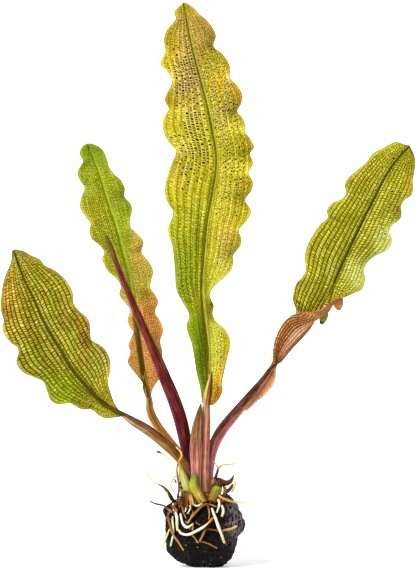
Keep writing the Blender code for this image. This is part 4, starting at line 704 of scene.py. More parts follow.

# What the stalks, the sheaths and the rolled leaf look like: foot and top are bands from the left or
# lower side to the right or upper one, the stalk's own streaked colours with painted highlights
# among them, and change has the shares of the length between which the first give way to the
# second. base and tip are the colour of either end, after the shares between which it fades out or
# in. streak is the colour of the streaks, and gleam how strong the painted highlights along the
# pale streaks are. grid is the steps along and around, and flat the depth as a share of the width.
# ridges is the number of ridges, and ridge their depth as a share of the radius.
STALK_LOOKS = {
    "tall_leaf_stalk": {
        "slot": "pink_stalk", "grid": (110, 48), "ridges": 7, "ridge": 0.05,
        "foot": [
            (0.0, 222, 138, 146), (0.2, 238, 178, 170), (0.4, 178, 102, 76), (0.55, 228, 176, 144),
            (0.75, 180, 100, 72), (1.0, 234, 160, 150),
        ],
        "top": [
            (0.0, 206, 214, 110), (0.3, 196, 188, 92), (0.42, 178, 122, 78), (0.62, 160, 96, 60),
            (0.8, 150, 84, 40), (0.9, 70, 32, 4), (1.0, 110, 66, 20),
        ],
        "change": (0.62, 0.8), "base": (0.05, 0.22, (214, 158, 100)),
        "streak": (140, 66, 46),
    },
    "left_leaf_stalk": {
        "slot": "brown_stalk", "grid": (110, 48), "ridges": 6, "ridge": 0.05,
        "foot": [
            (0.0, 140, 96, 20), (0.3, 176, 126, 34), (0.55, 116, 66, 8), (0.8, 150, 92, 24),
            (1.0, 96, 46, 8),
        ],
        "top": [
            (0.0, 172, 160, 124), (0.35, 196, 180, 142), (0.5, 132, 104, 56), (0.7, 110, 66, 22),
            (1.0, 84, 46, 8),
        ],
        "change": (0.35, 0.75), "streak": (74, 38, 2),
    },
    "back_leaf_stalk": {
        "slot": "gold_stalk", "grid": (110, 48), "ridges": 6, "ridge": 0.05,
        "foot": [(0.0, 226, 142, 68), (0.4, 208, 102, 52), (0.7, 236, 154, 98), (1.0, 176, 74, 40)],
        "top": [
            (0.0, 250, 204, 122), (0.3, 228, 150, 56), (0.55, 116, 86, 12), (0.75, 222, 150, 60),
            (1.0, 236, 172, 92),
        ],
        "change": (0.15, 0.5), "streak": (126, 60, 4),
    },
    "right_leaf_stalk": {
        "slot": "brown_stalk", "grid": (110, 48), "ridges": 6, "ridge": 0.07,
        "foot": [
            (0.0, 62, 20, 10), (0.25, 88, 34, 18), (0.44, 60, 18, 8), (0.54, 140, 76, 50),
            (0.68, 162, 52, 62), (1.0, 226, 140, 150),
        ],
        "top": [
            (0.0, 70, 30, 12), (0.2, 84, 40, 16), (0.4, 46, 18, 2), (0.56, 56, 24, 4), (0.66, 88, 44, 14),
            (0.72, 76, 32, 10), (0.8, 186, 116, 68), (1.0, 216, 146, 100),
        ],
        "change": (0.5, 0.72), "base": (0.12, 0.42, (216, 138, 146)),
        "streak": (88, 34, 20),
    },
    "rolled_young_leaf": {
        "slot": "maroon", "grid": (140, 40), "ridges": 5, "ridge": 0.06,
        "foot": [
            (0.0, 158, 66, 88), (0.12, 108, 18, 38), (0.4, 84, 6, 18), (0.6, 110, 20, 30),
            (0.8, 72, 4, 12), (1.0, 132, 52, 52),
        ],
        "top": [
            (0.0, 206, 168, 150), (0.1, 142, 66, 60), (0.35, 130, 48, 20), (0.6, 96, 18, 4),
            (0.85, 112, 44, 14), (1.0, 190, 140, 90),
        ],
        "change": (0.35, 0.6), "tip": (0.84, 0.95, (118, 98, 22)), "streak": (60, 4, 6),
        "gleam": 0.18,
    },
    "sheath_leaf": {
        "slot": "sheath", "grid": (60, 48), "flat": 0.5, "ridges": 9, "ridge": 0.06,
        "foot": [
            (0.0, 232, 168, 186), (0.2, 210, 124, 142), (0.4, 166, 76, 66), (0.6, 216, 164, 136),
            (0.8, 180, 100, 92), (1.0, 224, 170, 156),
        ],
        "top": [
            (0.0, 186, 160, 100), (0.2, 108, 66, 24), (0.4, 154, 108, 54), (0.55, 84, 44, 10),
            (0.8, 178, 136, 80), (1.0, 110, 58, 28),
        ],
        "change": (0.35, 0.7), "tip": (0.8, 0.97, (72, 74, 8)), "streak": (98, 36, 20),
    },
    "pale_sheath_stub": {
        "slot": "pale_sheath", "grid": (60, 48), "flat": 0.45, "ridges": 7, "ridge": 0.03,
        "foot": [(0.0, 232, 220, 150), (0.2, 196, 176, 88), (0.6, 190, 178, 100), (1.0, 146, 126, 48)],
        "top": [
            (0.0, 250, 250, 226), (0.2, 246, 246, 214), (0.34, 220, 214, 124), (0.6, 204, 200, 120),
            (1.0, 150, 146, 60),
        ],
        "change": (0.02, 0.4), "streak": (176, 170, 88),
    },
    "green_sheath_stub": {
        "slot": "green_sheath", "grid": (60, 48), "flat": 0.62, "ridges": 5,
        "ridge": 0.03,
        "foot": [(0.0, 184, 116, 16), (0.3, 216, 172, 62), (0.6, 222, 202, 112), (1.0, 176, 124, 30)],
        "top": [(0.0, 190, 196, 76), (0.35, 172, 180, 34), (0.7, 134, 150, 10), (1.0, 126, 104, 10)],
        "change": (0.15, 0.65), "tip": (0.6, 0.92, (92, 130, 0)),
        "streak": (140, 110, 16),
    },
    "dark_tipped_stub": {
        "slot": "green_sheath", "grid": (60, 48), "flat": 0.7, "ridges": 5, "ridge": 0.03,
        "foot": [(0.0, 148, 84, 14), (0.3, 176, 120, 20), (0.7, 156, 112, 12), (1.0, 110, 62, 8)],
        "top": [(0.0, 150, 130, 20), (0.35, 146, 148, 6), (0.7, 128, 146, 4), (1.0, 176, 190, 60)],
        "change": (0.1, 0.45), "tip": (0.64, 0.7, (12, 20, 2)), "streak": (112, 96, 6),
    },
}
# The colour of the painted highlights along a stalk's pale streaks.
PAINTED_GLEAM_TONE = (236, 206, 176)

# Root finishes: bands from the crown to the tip.
ROOT_TONES = {
    "white_root": [
        (0.0, 214, 184, 112), (0.14, 246, 240, 204), (0.7, 248, 246, 214), (1.0, 226, 208, 130),
    ],
    "brown_root": [(0.0, 104, 64, 20), (0.25, 150, 106, 38), (0.7, 176, 132, 62), (1.0, 204, 166, 98)],
    "orange_root": [(0.0, 112, 68, 24), (0.4, 148, 100, 38), (0.55, 206, 160, 74), (1.0, 240, 216, 150)],
    "pale_root": [(0.0, 228, 186, 150), (0.25, 242, 226, 170), (1.0, 244, 240, 178)],
    "yellow_root": [
        (0.0, 230, 190, 100), (0.4, 212, 152, 50), (0.55, 226, 206, 120), (1.0, 244, 240, 190),
    ],
    "hair_root": [
        (0.0, 52, 22, 6), (0.3, 88, 46, 16), (0.48, 150, 132, 60), (0.58, 214, 212, 136),
        (1.0, 234, 236, 180),
    ],
    "pale_hair": [(0.0, 168, 150, 70), (0.3, 196, 192, 112), (0.7, 212, 214, 140), (1.0, 232, 236, 180)],
    "dark_tip_hair": [
        (0.0, 244, 244, 196), (0.5, 222, 222, 130), (0.78, 206, 204, 132), (0.84, 60, 56, 44),
        (1.0, 84, 80, 66),
    ],
    "thread_root": [
        (0.0, 232, 214, 132), (0.2, 224, 178, 92), (0.4, 172, 122, 50), (0.7, 140, 100, 34),
        (1.0, 74, 50, 8),
    ],
    "dark_root": [(0.0, 158, 100, 60), (0.3, 96, 58, 20), (1.0, 84, 70, 30)],
    "husk": [(0.0, 186, 132, 82), (0.5, 162, 108, 62), (1.0, 208, 176, 120)],
    "gold_end": [
        (0.0, 222, 204, 118), (0.1, 248, 246, 214), (0.72, 248, 244, 200), (0.8, 214, 172, 76),
        (1.0, 190, 128, 34),
    ],
    "tan_fork": [(0.0, 66, 28, 4), (0.5, 104, 60, 22), (0.62, 176, 144, 72), (1.0, 196, 178, 110)],
}
# Roots that differ from the rest of their kind.
ROOT_KINDS = {
    "orange_root_2": "thread_root", "brown_root_7": "dark_root", "brown_root_8": "tan_fork",
    "hair_root_2": "dark_tip_hair", "hair_root_3": "pale_hair", "hair_root_4": "pale_hair",
    "hair_root_5": "pale_hair", "white_root_3": "gold_end",
}
# The finish and the slot of each kind of loose root.
LOOSE_KINDS = {
    "dark_crumb": ("dark_root", "tuber"), "brown_rim": ("brown_root", "brown_root"),
    "tan_nub": ("husk", "orange_root"), "pink_husk": ("husk", "dry_scale"),
    "white_loop": ("white_root", "white_root"),
}

# dry is the light grey of a painted highlight on the tuber's streaked upper right.
TUBER_TONES = {
    "pits": (3, 2, 2), "grains": (36, 27, 27), "lumps": (52, 41, 41), "flecks": (176, 156, 124),
    "dry": (160, 144, 144),
}
CROWN_TONES = {"dark": (84, 48, 12), "light": (176, 128, 48), "patch": (128, 116, 40)}
FIBRE_TONES = ((70, 38, 12), (188, 134, 66))
HUSK_TONES = [(0.0, 78, 42, 14), (0.3, 142, 96, 48), (0.6, 206, 152, 92), (1.0, 238, 198, 142)]
HUSK_TOP_TONE = (122, 106, 40)
# Thin pieces: the colours near the root, further out, at the tip and in the lines.
SHEET_TONES = {
    "right_leaf_curl_1": ((180, 132, 80), (222, 138, 72), (196, 104, 50), (150, 84, 40)),
    "right_leaf_curl_2": ((158, 146, 30), (140, 140, 14), (40, 26, 6), (100, 92, 10)),
    "dry_scale": ((132, 78, 32), (112, 54, 18), (52, 20, 8), (60, 26, 10)),
    "dry_scrap": ((104, 60, 24), (164, 104, 62), (128, 70, 34), (84, 42, 14)),
}

# The picture's middle (x, z) and height at the plant, and how far off the camera is, in metres.
PICTURE_MIDDLE = (1.2, 111.8)
PICTURE_HEIGHT = 230.0
CAMERA_FAR = 3.0

# The room: its even light, how bright it is to the eye and in gloss, and how much whiter the
# floor looks than it is, as a lit white sweep does.
ROOM_LIGHT = 0.46
ROOM_SEEN = 1.05
ROOM_GLOSS = 0.12
FLOOR_GLOW = 0.3
# The lamps, in metres: name, kind, place, size and power. They point at the plant's middle.
LAMPS = [
    ("key_light", "SUN", (-1.1, -1.3, 1.3), 0.45, 2.6),
    ("back_light", "AREA", (0.5, 1.8, 1.4), 1.2, 10.0),
]
LAMP_AIM = 0.11  # the height of the plant's middle, in metres


def screen(red, green, blue):
    """A colour as a screen shows it, each part from 0 to 255, turned into amounts of light."""
    parts = []
    for part in (red, green, blue):
        share = part / 255
        parts.append(((share + 0.055) / 1.055) ** 2.4 if share > 0.04 else share / 12.92)
    return (*parts, 1.0)


def soft_step(low, high, value):
    """A soft step from 0 at low to 1 at high."""
    t = np.clip((value - low) / (high - low), 0.0, 1.0)
    return t * t * (3 - 2 * t)


def band(low, high, soft, value):
    """1 between low and high, falling to 0 over a soft edge at each end."""
    return soft_step(low - soft, low + soft, value) * (1.0 - soft_step(high - soft, high + soft, value))


def to_whole(value):
    """How far each value is from the nearest whole number."""
    return np.abs(value - np.round(value))


def evened(values, reach):
    """A row of values, each one evened out with those that lie within reach of it."""
    window = np.hanning(2 * reach + 1)
    window /= window.sum()
    return np.convolve(np.pad(values, reach, mode="edge"), window, mode="valid")


def rough(points, size, seed, octaves=1):
    """Noise from about -1 to 1 at each point, with lumps of the given size."""
    shift = Vector((seed * 7.3, seed * 3.1, seed * 5.7))
    out = np.empty(len(points))
    for k, point in enumerate(points):
        spot = Vector(point) / size + shift
        out[k] = noise.fractal(spot, 1.0, 2.0, octaves) if octaves > 1 else noise.noise(spot)
    return out


def rows(table):
    """Rows of (x, z, depth) as points of (x, depth, z)."""
    return np.array([(x, depth, z) for x, z, depth, *_ in table], float)


def placed(points):
    """Points in millimetres as seen from the front, put where they are in metres."""
    out = np.array(points, float)
    out[:, 2] -= out[:, 1] * SIGHT_SLOPE
    return out * MM


class Run:
    """A smooth curve through points, read at stations from 0 to 1."""

    def __init__(self, points, stations=None):
        self.points = np.asarray(points, float)
        if stations is None:
            steps = np.linalg.norm(np.diff(self.points[:, :3], axis=0), axis=1)
            stations = np.concatenate(([0.0], np.cumsum(steps)))
            self.length = stations[-1]
            stations = stations / self.length
        self.stations = np.asarray(stations, float)

    def at(self, u):
        """The points at stations u."""
        points, s = self.points, self.stations
        i = np.clip(np.searchsorted(s, u, side="right") - 1, 0, len(points) - 2)
        before = np.maximum(i - 1, 0)
        after = np.minimum(i + 2, len(points) - 1)
        width = s[i + 1] - s[i]
        t = ((u - s[i]) / width)[:, None]
        lead = (points[i + 1] - points[before]) * (width / (s[i + 1] - s[before]))[:, None]
        trail = (points[after] - points[i]) * (width / (s[after] - s[i]))[:, None]
        return (
            points[i] * ((1 + 2 * t) * (1 - t) ** 2)
            + lead * (t * (1 - t) ** 2)
            + points[i + 1] * (t * t * (3 - 2 * t))
            - trail * (t * t * (1 - t))
        )


def beside(margin, rib):
    """A margin as a run, each point at the station of the midrib that it lies beside."""
    steps = np.linspace(0.0, 1.0, MIDRIB_STEPS + 1)
    spots = rib.at(steps)
    least = 2.0 / MIDRIB_STEPS
    found = [0.0]
    for k, point in enumerate(margin[1:-1], start=1):
        far = np.hypot(spots[:, 0] - point[0], spots[:, 2] - point[2])
        most = 1.0 - least * (len(margin) - 1 - k)
        found.append(min(max(steps[far.argmin()], found[-1] + least), most))
    return Run(margin, [*found, 1.0])


class Blade:
    """A leaf's middle surface, between a midrib and two margins."""

    def __init__(self, midrib, left, right, bow=None):
        self.rib = Run(rows(midrib))
        self.left = beside(rows(left), self.rib)
        self.right = beside(rows(right), self.rib)
        self.bow = bow

    def margin(self, u, v):
        """The margin's points at stations u, on the side of each v."""
        return np.where(v[:, None] > 0, self.right.at(u), self.left.at(u))

    def half_width(self, u, v):
        """How wide the half of each v is at each station u."""
        rib, edge = self.rib.at(u), self.margin(u, v)
        return np.hypot(edge[:, 0] - rib[:, 0], edge[:, 2] - rib[:, 2])

    def even_width(self, u, v):
        """The same, evened out along the leaf, which is what the veins follow."""
        steps = np.linspace(0.0, 1.0, MIDRIB_STEPS + 1)
        reach = max(int(EVEN_REACH / self.rib.length * MIDRIB_STEPS), 1)
        out = np.empty_like(u)
        for side in (-1.0, 1.0):
            even = evened(self.half_width(steps, np.full_like(steps, side)), reach)
            mine = (v > 0) == (side > 0)
            out[mine] = np.interp(u[mine], steps, even)
        return out

    def at(self, u, v):
        """The points at stations u and at v from -1 at the left margin to 1 at the right one."""
        rib, edge = self.rib.at(u), self.margin(u, v)
        across = np.abs(v)
        swell = BLADE_SWELL * self.half_width(u, v) * np.sin(pi * across)
        spots = np.stack((
            rib[:, 0] + (edge[:, 0] - rib[:, 0]) * across,
            rib[:, 1] + edge[:, 1] * across ** RUFFLE_POWER - swell,
            rib[:, 2] + (edge[:, 2] - rib[:, 2]) * across,
        ), axis=1)
        if self.bow:
            station, reach, (x, z, depth) = self.bow
            near = np.clip(1.0 - ((u - station) / reach) ** 2, 0.0, None)
            share = np.where(v > 0, near ** 2 * np.sin(pi * across), 0.0)
            spots += share[:, None] * np.array((x, depth, z))
        return spots


def deselect():
    """Leave nothing selected."""
    bpy.ops.object.select_all(action="DESELECT")


def take(piece):
    """Make a piece the only selected and active one."""
    deselect()
    piece.select_set(True)
    bpy.context.view_layer.objects.active = piece


def join(pieces):
    """One piece out of many."""
    take(pieces[0])
    for piece in pieces:
        piece.select_set(True)
    bpy.ops.object.join()
    return pieces[0]


def corners(mesh, what="co"):
    """A mesh's points as an array, or where asked the normal at each."""
    flat = np.empty(len(mesh.vertices) * 3)
    mesh.vertices.foreach_get(what, flat)
    return flat.reshape(-1, 3)


def set_corners(mesh, points):
    """Give a mesh new points."""
    mesh.vertices.foreach_set("co", np.asarray(points, np.float32).ravel())
    mesh.update()


def set_share(mesh, name, values):
    """Store one number for each point of a mesh."""
    made = mesh.attributes.new(name, "FLOAT", "POINT")
    made.data.foreach_set("value", np.asarray(values, np.float32))


def set_pattern(mesh, name, across, along):
    """Store a pair of numbers for each point of a mesh as a UV map."""
    layer = mesh.uv_layers.new(name=name)
    index = np.empty(len(mesh.loops), np.int32)
    mesh.loops.foreach_get("vertex_index", index)
    pairs = np.stack((across[index], along[index]), axis=1)
    layer.data.foreach_set("uv", np.asarray(pairs, np.float32).ravel())


def new_grid(steps, columns):
    """A flat grid, and the u along it and the v across it of each of its points."""
    deselect()
    bpy.ops.mesh.primitive_grid_add(x_subdivisions=columns, y_subdivisions=steps, size=2.0)
    piece = bpy.context.object
    flat = corners(piece.data)
    return piece, (flat[:, 1] + 1) / 2, flat[:, 0]


def thicken(piece, thickness, shares=None):
    """Give a sheet its thickness in millimetres, or a share of it at each point."""
    take(piece)
    bpy.ops.object.modifier_add(type="SOLIDIFY")
    solid = piece.modifiers[-1]
    solid.thickness = thickness * MM
    solid.offset = 0.0
    if shares is not None:
        group = piece.vertex_groups.new(name="thickness")
        for index, share in enumerate(shares):
            group.add([index], float(share), "REPLACE")
        solid.vertex_group = group.name
        solid.thickness_vertex_group = 0.0
    bpy.ops.object.modifier_apply(modifier=solid.name)


def cut_across(piece, cuts):
    """Cut the upright edges of a new cylinder, which run from its foot to its top."""
    bpy.context.tool_settings.mesh_select_mode = (False, True, False)
    mesh = piece.data
    height = corners(mesh)[:, 2]
    upper = height > (height.min() + height.max()) / 2
    for edge in mesh.edges:
        a, b = edge.vertices
        edge.select = bool(upper[a] != upper[b])
    for face in mesh.polygons:
        face.select = False
    bpy.ops.object.mode_set(mode="EDIT")
    bpy.ops.mesh.subdivide(number_cuts=cuts)
    bpy.ops.object.mode_set(mode="OBJECT")


def add_piece(piece, name, finish):
    """Finish a piece and let it ride on the plant."""
    piece.name = name
    piece.data.name = name
    piece.data.materials.clear()
    piece.data.materials.append(finish)
    take(piece)
    bpy.ops.object.shade_smooth()
    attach(piece, "root")


def dress(piece, node, finish):
    """Put a finished piece in place of its solid."""
    add_piece(piece, f"{node}_skin", finish)
    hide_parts(node)


class Nodes:
    """Short ways to add nodes to a tree."""

    def __init__(self, tree):
        self.tree = tree

    def add(self, kind, inputs=None, **settings):
        """A node with its settings, and its inputs set or joined."""
        node = self.tree.nodes.new(kind)
        for name, value in settings.items():
            setattr(node, name, value)
        for socket, value in (inputs or {}).items():
            self.feed(node.inputs[socket], value)
        return node

    def feed(self, socket, value):
        """Set a socket, or join it to another node's output. Three parts are a screen's colour."""
        if isinstance(value, bpy.types.NodeSocket):
            self.tree.links.new(value, socket)
        elif socket.type == "RGBA" and len(value) == 3:
            socket.default_value = screen(*value)
        else:
            socket.default_value = value

    def maths(self, operation, *values):
        """The result of a sum or another rule of arithmetic."""
        node = self.add("ShaderNodeMath", dict(enumerate(values)), operation=operation)
        return node.outputs[0]

    def times(self, *values):
        """Numbers multiplied by each other."""
        product, *others = values
        for value in others:
            product = self.maths("MULTIPLY", product, value)
        return product

    def step(self, value, low, high, start=0.0, end=1.0):
        """A soft step from start at low to end at high."""
        inputs = {
            "Value": value, "From Min": low, "From Max": high, "To Min": start, "To Max": end,
        }
        node = self.add("ShaderNodeMapRange", inputs, interpolation_type="SMOOTHSTEP")
        return node.outputs["Result"]

    def mix(self, share, first, second, blend="MIX"):
        """One colour laid over another."""
        inputs = {0: share, 6: first, 7: second}
        node = self.add("ShaderNodeMix", inputs, data_type="RGBA", blend_type=blend)
        return node.outputs[2]

    def shaded(self, colour, shade):
        """A colour made darker or lighter by a number."""
        grey = self.add("ShaderNodeCombineColor", {0: shade, 1: shade, 2: shade})
        return self.mix(1.0, colour, grey.outputs[0], "MULTIPLY")

    def bands(self, share, stops):
        """Colours laid side by side, each stop a place and a screen's colour."""
        ramp = self.add("ShaderNodeValToRGB", {"Fac": share})
        marks = ramp.color_ramp.elements
        while len(marks) < len(stops):
            marks.new(0.5)
        for mark, (place, *colour) in zip(marks, stops):
            mark.position = place
            mark.color = screen(*colour)
        return ramp.outputs["Color"]

    def place(self):
        """Where a point lies on its piece, in metres."""
        return self.add("ShaderNodeTexCoord").outputs["Object"]

    def share(self, name):
        """A number stored in the piece."""
        return self.add("ShaderNodeAttribute", attribute_name=name).outputs["Fac"]

    def pattern(self, name):
        """A pair of numbers stored in the piece."""
        return self.add("ShaderNodeUVMap", uv_map=name).outputs["UV"]

    def vector(self, *values):
        """A vector out of numbers."""
        return self.add("ShaderNodeCombineXYZ", dict(enumerate(values))).outputs[0]

    def parts(self, vector):
        """A vector's X, Y and Z."""
        return self.add("ShaderNodeSeparateXYZ", {0: vector}).outputs

    def stretched(self, vector, scale, turn=(0.0, 0.0, 0.0)):
        """A vector scaled, and turned first where a turn is given."""
        inputs = {"Vector": vector, "Rotation": turn, "Scale": scale}
        return self.add("ShaderNodeMapping", inputs).outputs[0]

    def grain(self, vector, scale, detail=2.0, **settings):
        """Noise about 0.5, finer with a larger scale."""
        inputs = {"Vector": vector, "Scale": scale, "Detail": detail}
        return self.add("ShaderNodeTexNoise", inputs, **settings).outputs["Fac"]

    def mottle(self, vector, size, detail=2.0):
        """Noise about 0.5 with lumps of a size in millimetres."""
        return self.grain(vector, 1 / (size * MM), detail)


class Finish(Nodes):
    """A material, the nodes that lead to its shader, and the shader with its constants set."""

    def __init__(self, name, **constants):
        self.material = bpy.data.materials.new(name)
        self.material.use_nodes = True
        super().__init__(self.material.node_tree)
        self.shader = self.tree.nodes["Principled BSDF"]
        for socket, value in constants.items():
            self.shader.inputs[socket.replace("_", " ")].default_value = value

    def lead(self, socket, value):
        """Join a result to the shader."""
        self.feed(self.shader.inputs[socket], value)

    def relief(self, height, rise, strength):
        """Fine relief that rises by so many millimetres."""
        inputs = {"Height": height, "Distance": rise * MM, "Strength": strength}
        self.lead("Normal", self.add("ShaderNodeBump", inputs).outputs["Normal"])


def new_group(name, inputs, outputs):
    """An empty node group: its nodes, its input node and its output node."""
    tree = bpy.data.node_groups.new(name, "ShaderNodeTree")
    for in_out, sockets in (("INPUT", inputs), ("OUTPUT", outputs)):
        for socket, kind in sockets.items():
            tree.interface.new_socket(name=socket, in_out=in_out, socket_type=f"NodeSocket{kind}")
    n = Nodes(tree)
    return n, n.add("NodeGroupInput").outputs, n.add("NodeGroupOutput").inputs


def cell_place(n, across, along, split):
    """The column, its number and the row of a net, each column with its own rows."""
    column = n.maths("MULTIPLY", across, split)
    number = n.maths("FLOOR", column)
    start = n.times(number, number, ROW_START_SQUARED)
    start = n.maths("FRACT", n.maths("MULTIPLY_ADD", number, ROW_START, start))
    row = n.maths("ADD", along, start)
    for pace, apart, height in ROW_WAVES:
        wave = n.maths("MULTIPLY_ADD", along, pace, n.maths("MULTIPLY", number, apart))
        row = n.maths("MULTIPLY_ADD", n.maths("SINE", wave), height, row)
    within = n.maths("SUBTRACT", column, number)
    tilt = n.times(n.maths("SINE", n.maths("MULTIPLY", number, TILT_APART)), ROW_TILT)
    return column, number, n.maths("MULTIPLY_ADD", within, tilt, row)


def cell_sides(lane, row, split):
    """How far each point is from the nearest side and the nearest end of its cell, as above."""
    column = lane * split
    number = np.floor(column)
    own = row + np.mod(ROW_START_SQUARED * number * number + ROW_START * number, 1.0)
    for pace, apart, height in ROW_WAVES:
        own += height * np.sin(pace * row + apart * number)
    tilt = ROW_TILT * np.sin(TILT_APART * number)
    own += (column - number) * tilt
    return to_whole(column), to_whole(own)


def lattice_group():
    """A leaf's net: lengthwise veins, the fine lines between them, and the cells they close."""
    if "leaf lattice" in bpy.data.node_groups:
        return bpy.data.node_groups["leaf lattice"]
    takes = dict.fromkeys(("Split", "Vein Width", "Line Width", "Side Gap", "End Gap"), "Float")
    gives = dict.fromkeys(("Vein", "Middle", "Bead", "Cell", "Core", "Chance", "Run"), "Float")
    n, given, out = new_group("leaf lattice", {"Pattern": "Vector", **takes}, gives)
    place = n.parts(given["Pattern"])
    to_vein = n.maths("PINGPONG", place["X"], 0.5)
    n.feed(out["Vein"], n.step(to_vein, 0.0, given["Vein Width"], 1.0, 0.0))
    n.feed(out["Middle"], n.step(to_vein, 0.0, 0.5))
    column, number, row = cell_place(n, place["X"], place["Y"], given["Split"])
    to_side = n.maths("PINGPONG", column, 0.5)
    to_end = n.maths("PINGPONG", row, 0.5)
    n.feed(out["Bead"], n.step(to_end, 0.1, 0.34))
    fills = [n.step(to, 0.0, given["Line Width"]) for to in (to_side, to_end)]
    n.feed(out["Cell"], n.times(*fills))
    past_side = n.maths("SUBTRACT", to_side, given["Side Gap"])
    past_end = n.maths("SUBTRACT", to_end, given["End Gap"])
    n.feed(out["Core"], n.times(n.step(past_side, 0.0, 0.1), n.step(past_end, 0.0, 0.1)))
    cell = n.vector(number, n.maths("FLOOR", row))
    chance = n.add("ShaderNodeTexWhiteNoise", {"Vector": cell}, noise_dimensions="2D")
    n.feed(out["Chance"], chance.outputs["Value"])
    stretch = n.vector(n.maths("MULTIPLY", number, 3.7), n.maths("MULTIPLY", row, 0.045))
    n.feed(out["Run"], n.step(n.grain(stretch, 1.0, 1.0, noise_dimensions="2D"), 0.3, 0.7))
    return n.tree


class LeafFinish(Finish):
    """A leaf's colours, laid over each other from its cells to its midrib."""

    def __init__(self, node, looks):
        super().__init__(node, Specular_IOR_Level=0.08)
        self.looks = looks
        spot = self.place()
        self.speck, self.fine, self.broad = (self.mottle(spot, size) for size in LEAF_MOTTLES)
        self.net_place = self.pattern("lattice")
        side_gap, end_gap = looks["gap"]
        inputs = {
            "Pattern": self.net_place, "Split": self.share("split"), "Vein Width": looks["vein_width"],
            "Line Width": LINE_WIDTH, "Side Gap": side_gap, "End Gap": end_gap,
        }
        self.net = self.add("ShaderNodeGroup", inputs, node_tree=lattice_group()).outputs
        self.tint()
        colour = self.cell_colour()
        colour = self.mix(self.vein_share(), colour, self.vein_colour())
        colour, window = self.add_windows(colour)
        colour = self.add_margin(colour)
        colour = self.add_midrib(colour)
        self.lead("Base Color", self.shaded(colour, self.shade()))
        self.lead("Roughness", self.step(self.fine, 0.3, 0.7, 0.5, 0.3))
        height = self.maths("ADD", self.net["Cell"], self.times(self.fine, 0.8))
        self.relief(self.maths("SUBTRACT", height, window), 0.12, 0.7)

    def tint(self):
        """The colours of the lines, the cells and the brightest cells, each tint in its zones."""
        tones = self.looks["base"]
        for name, tint in self.looks["tints"].items():
            patchy = self.maths("MULTIPLY_ADD", self.broad, 0.5, -0.25)
            strength = self.step(self.maths("ADD", self.share(name), patchy), 0.1, 0.8)
            tones = [self.mix(strength, tone, tinted) for tone, tinted in zip(tones, tint)]
        self.lines, self.cells, self.bright = tones

    def cell_colour(self):
        """The cells, some brighter than others, painted glints on the cores of some, and the fine lines
        around them.
        """
        net = self.net
        even = self.share("even")
        lit = self.times(net["Chance"], net["Chance"], self.looks["patchy"])
        lit = self.maths("ADD", lit, self.step(net["Run"], 0.45, 0.8, -0.1, 0.35))
        lit = self.times(self.maths("MAXIMUM", lit, 0.0), self.step(even, 0.0, 1.0, 1.0, 0.3))
        colour = self.mix(lit, self.cells, self.bright)
        # Painted glints: the brightest colour laid on the cores of cells where the fine specks are high.
        painted_glint = self.times(net["Core"], self.step(self.speck, 0.5, 0.68, 0.0, 0.75))
        painted_glint = self.times(painted_glint, self.step(even, 0.0, 1.0, 1.0, 0.2))
        colour = self.mix(painted_glint, colour, self.bright)
        filled = self.times(net["Cell"], self.step(self.fine, 0.2, 0.6, 0.65, 1.0))
        filled = self.maths("MAXIMUM", filled, self.times(even, 0.75))
        return self.mix(filled, self.lines, colour)

    def vein_share(self):
        """How strongly the lengthwise veins show, beaded and patchy."""
        strength = self.looks["vein"][1]
        return self.times(
            self.net["Vein"],
            self.step(self.broad, 0.3, 0.6, 0.7 * strength, strength),
            self.step(self.net["Bead"], 0.0, 1.0, 0.5, 1.0),
            self.step(self.speck, 0.3, 0.6, 0.6, 1.0),
            self.step(self.share("fine"), 0.2, 0.9, 1.0, 0.25),
        )

    def vein_colour(self):
        """The veins' colour, with a little of the cells' or of the lines' where they are strong."""
        colour, strength = self.looks["vein"]
        return self.mix(0.25, colour, self.bright if strength < STRONG_VEIN else self.lines)

    def add_windows(self, colour):
        """Small dark windows in some cells, in bright rims, and where they are."""
        net = self.net
        dots = self.share("dots")
        runs = self.step(net["Run"], 0.3, 0.62, 0.08, -0.2)
        dense = self.maths("ADD", dots, self.times(runs, self.step(dots, 0.05, 0.3)))
        pierced = self.step(self.maths("SUBTRACT", dense, net["Chance"]), 0.0, 0.06)
        window = self.times(pierced, net["Core"])
        rim = self.times(self.maths("SUBTRACT", pierced, window), 0.5)
        colour = self.mix(rim, colour, self.bright)
        return self.mix(window, colour, WINDOW_TONE), window

    def add_margin(self, colour):
        """A plainer band along the margin, and a thin line at its very edge."""
        edge = self.share("edge")
        plain = self.mix(self.step(self.broad, 0.35, 0.65, 0.2, 0.5), self.cells, self.bright)
        colour = self.mix(self.step(edge, 0.3, 1.5, 0.7, 0.0), colour, plain)
        return self.mix(self.step(edge, 0.1, 0.45, 0.75, 0.0), colour, self.lines)

    def add_midrib(self, colour):
        """The midrib, its colours in bands from its left side to its right, the pale bands on its right a
        painted highlight.
        """
        from_rib = self.share("from_rib")
        away = self.maths("ABSOLUTE", from_rib)
        bare = self.step(self.share("bare"), 0.2, 0.6, 1.0, 0.0)
        seen = self.times(self.step(away, 0.75, 1.15, 0.92, 0.0), bare)
        across = self.maths("MULTIPLY_ADD", from_rib, 0.45, 0.5)
        uneven = self.maths("SUBTRACT", self.grain(self.net_place, 3.0), 0.5)
        across = self.maths("MULTIPLY_ADD", uneven, 0.3, across)
        first, last, stops = self.looks["rib_foot"]
        up = self.step(self.share("up"), first, last)
        # The bands hold the midrib's own dark colour and, on its right, a painted highlight.
        tones = self.mix(up, self.bands(across, stops), self.bands(across, self.looks["rib_tones"]))
        return self.mix(seen, colour, tones)

    def shade(self):
        """How dark or light the leaf is: mottled at random, with painted shade in its hollows, painted
        light where it stands forward, and painted light and shade across its pleats.
        """
        return self.times(
            self.step(self.maths("ADD", self.fine, self.broad), 0.7, 1.3, 0.86, 1.1),
            # Painted shade where the leaf lies behind the leaf around it, and painted light where it
            # stands forward.
            self.step(self.share("hollow"), -0.6, 0.8, 1.06, 0.86),
            # Painted light and shade across each pleat, from a vein to its middle.
            self.step(self.net["Middle"], 0.1, 0.9, *self.looks["fold"]),
            self.step(self.speck, 0.3, 0.7, 0.86, 1.12),
        )


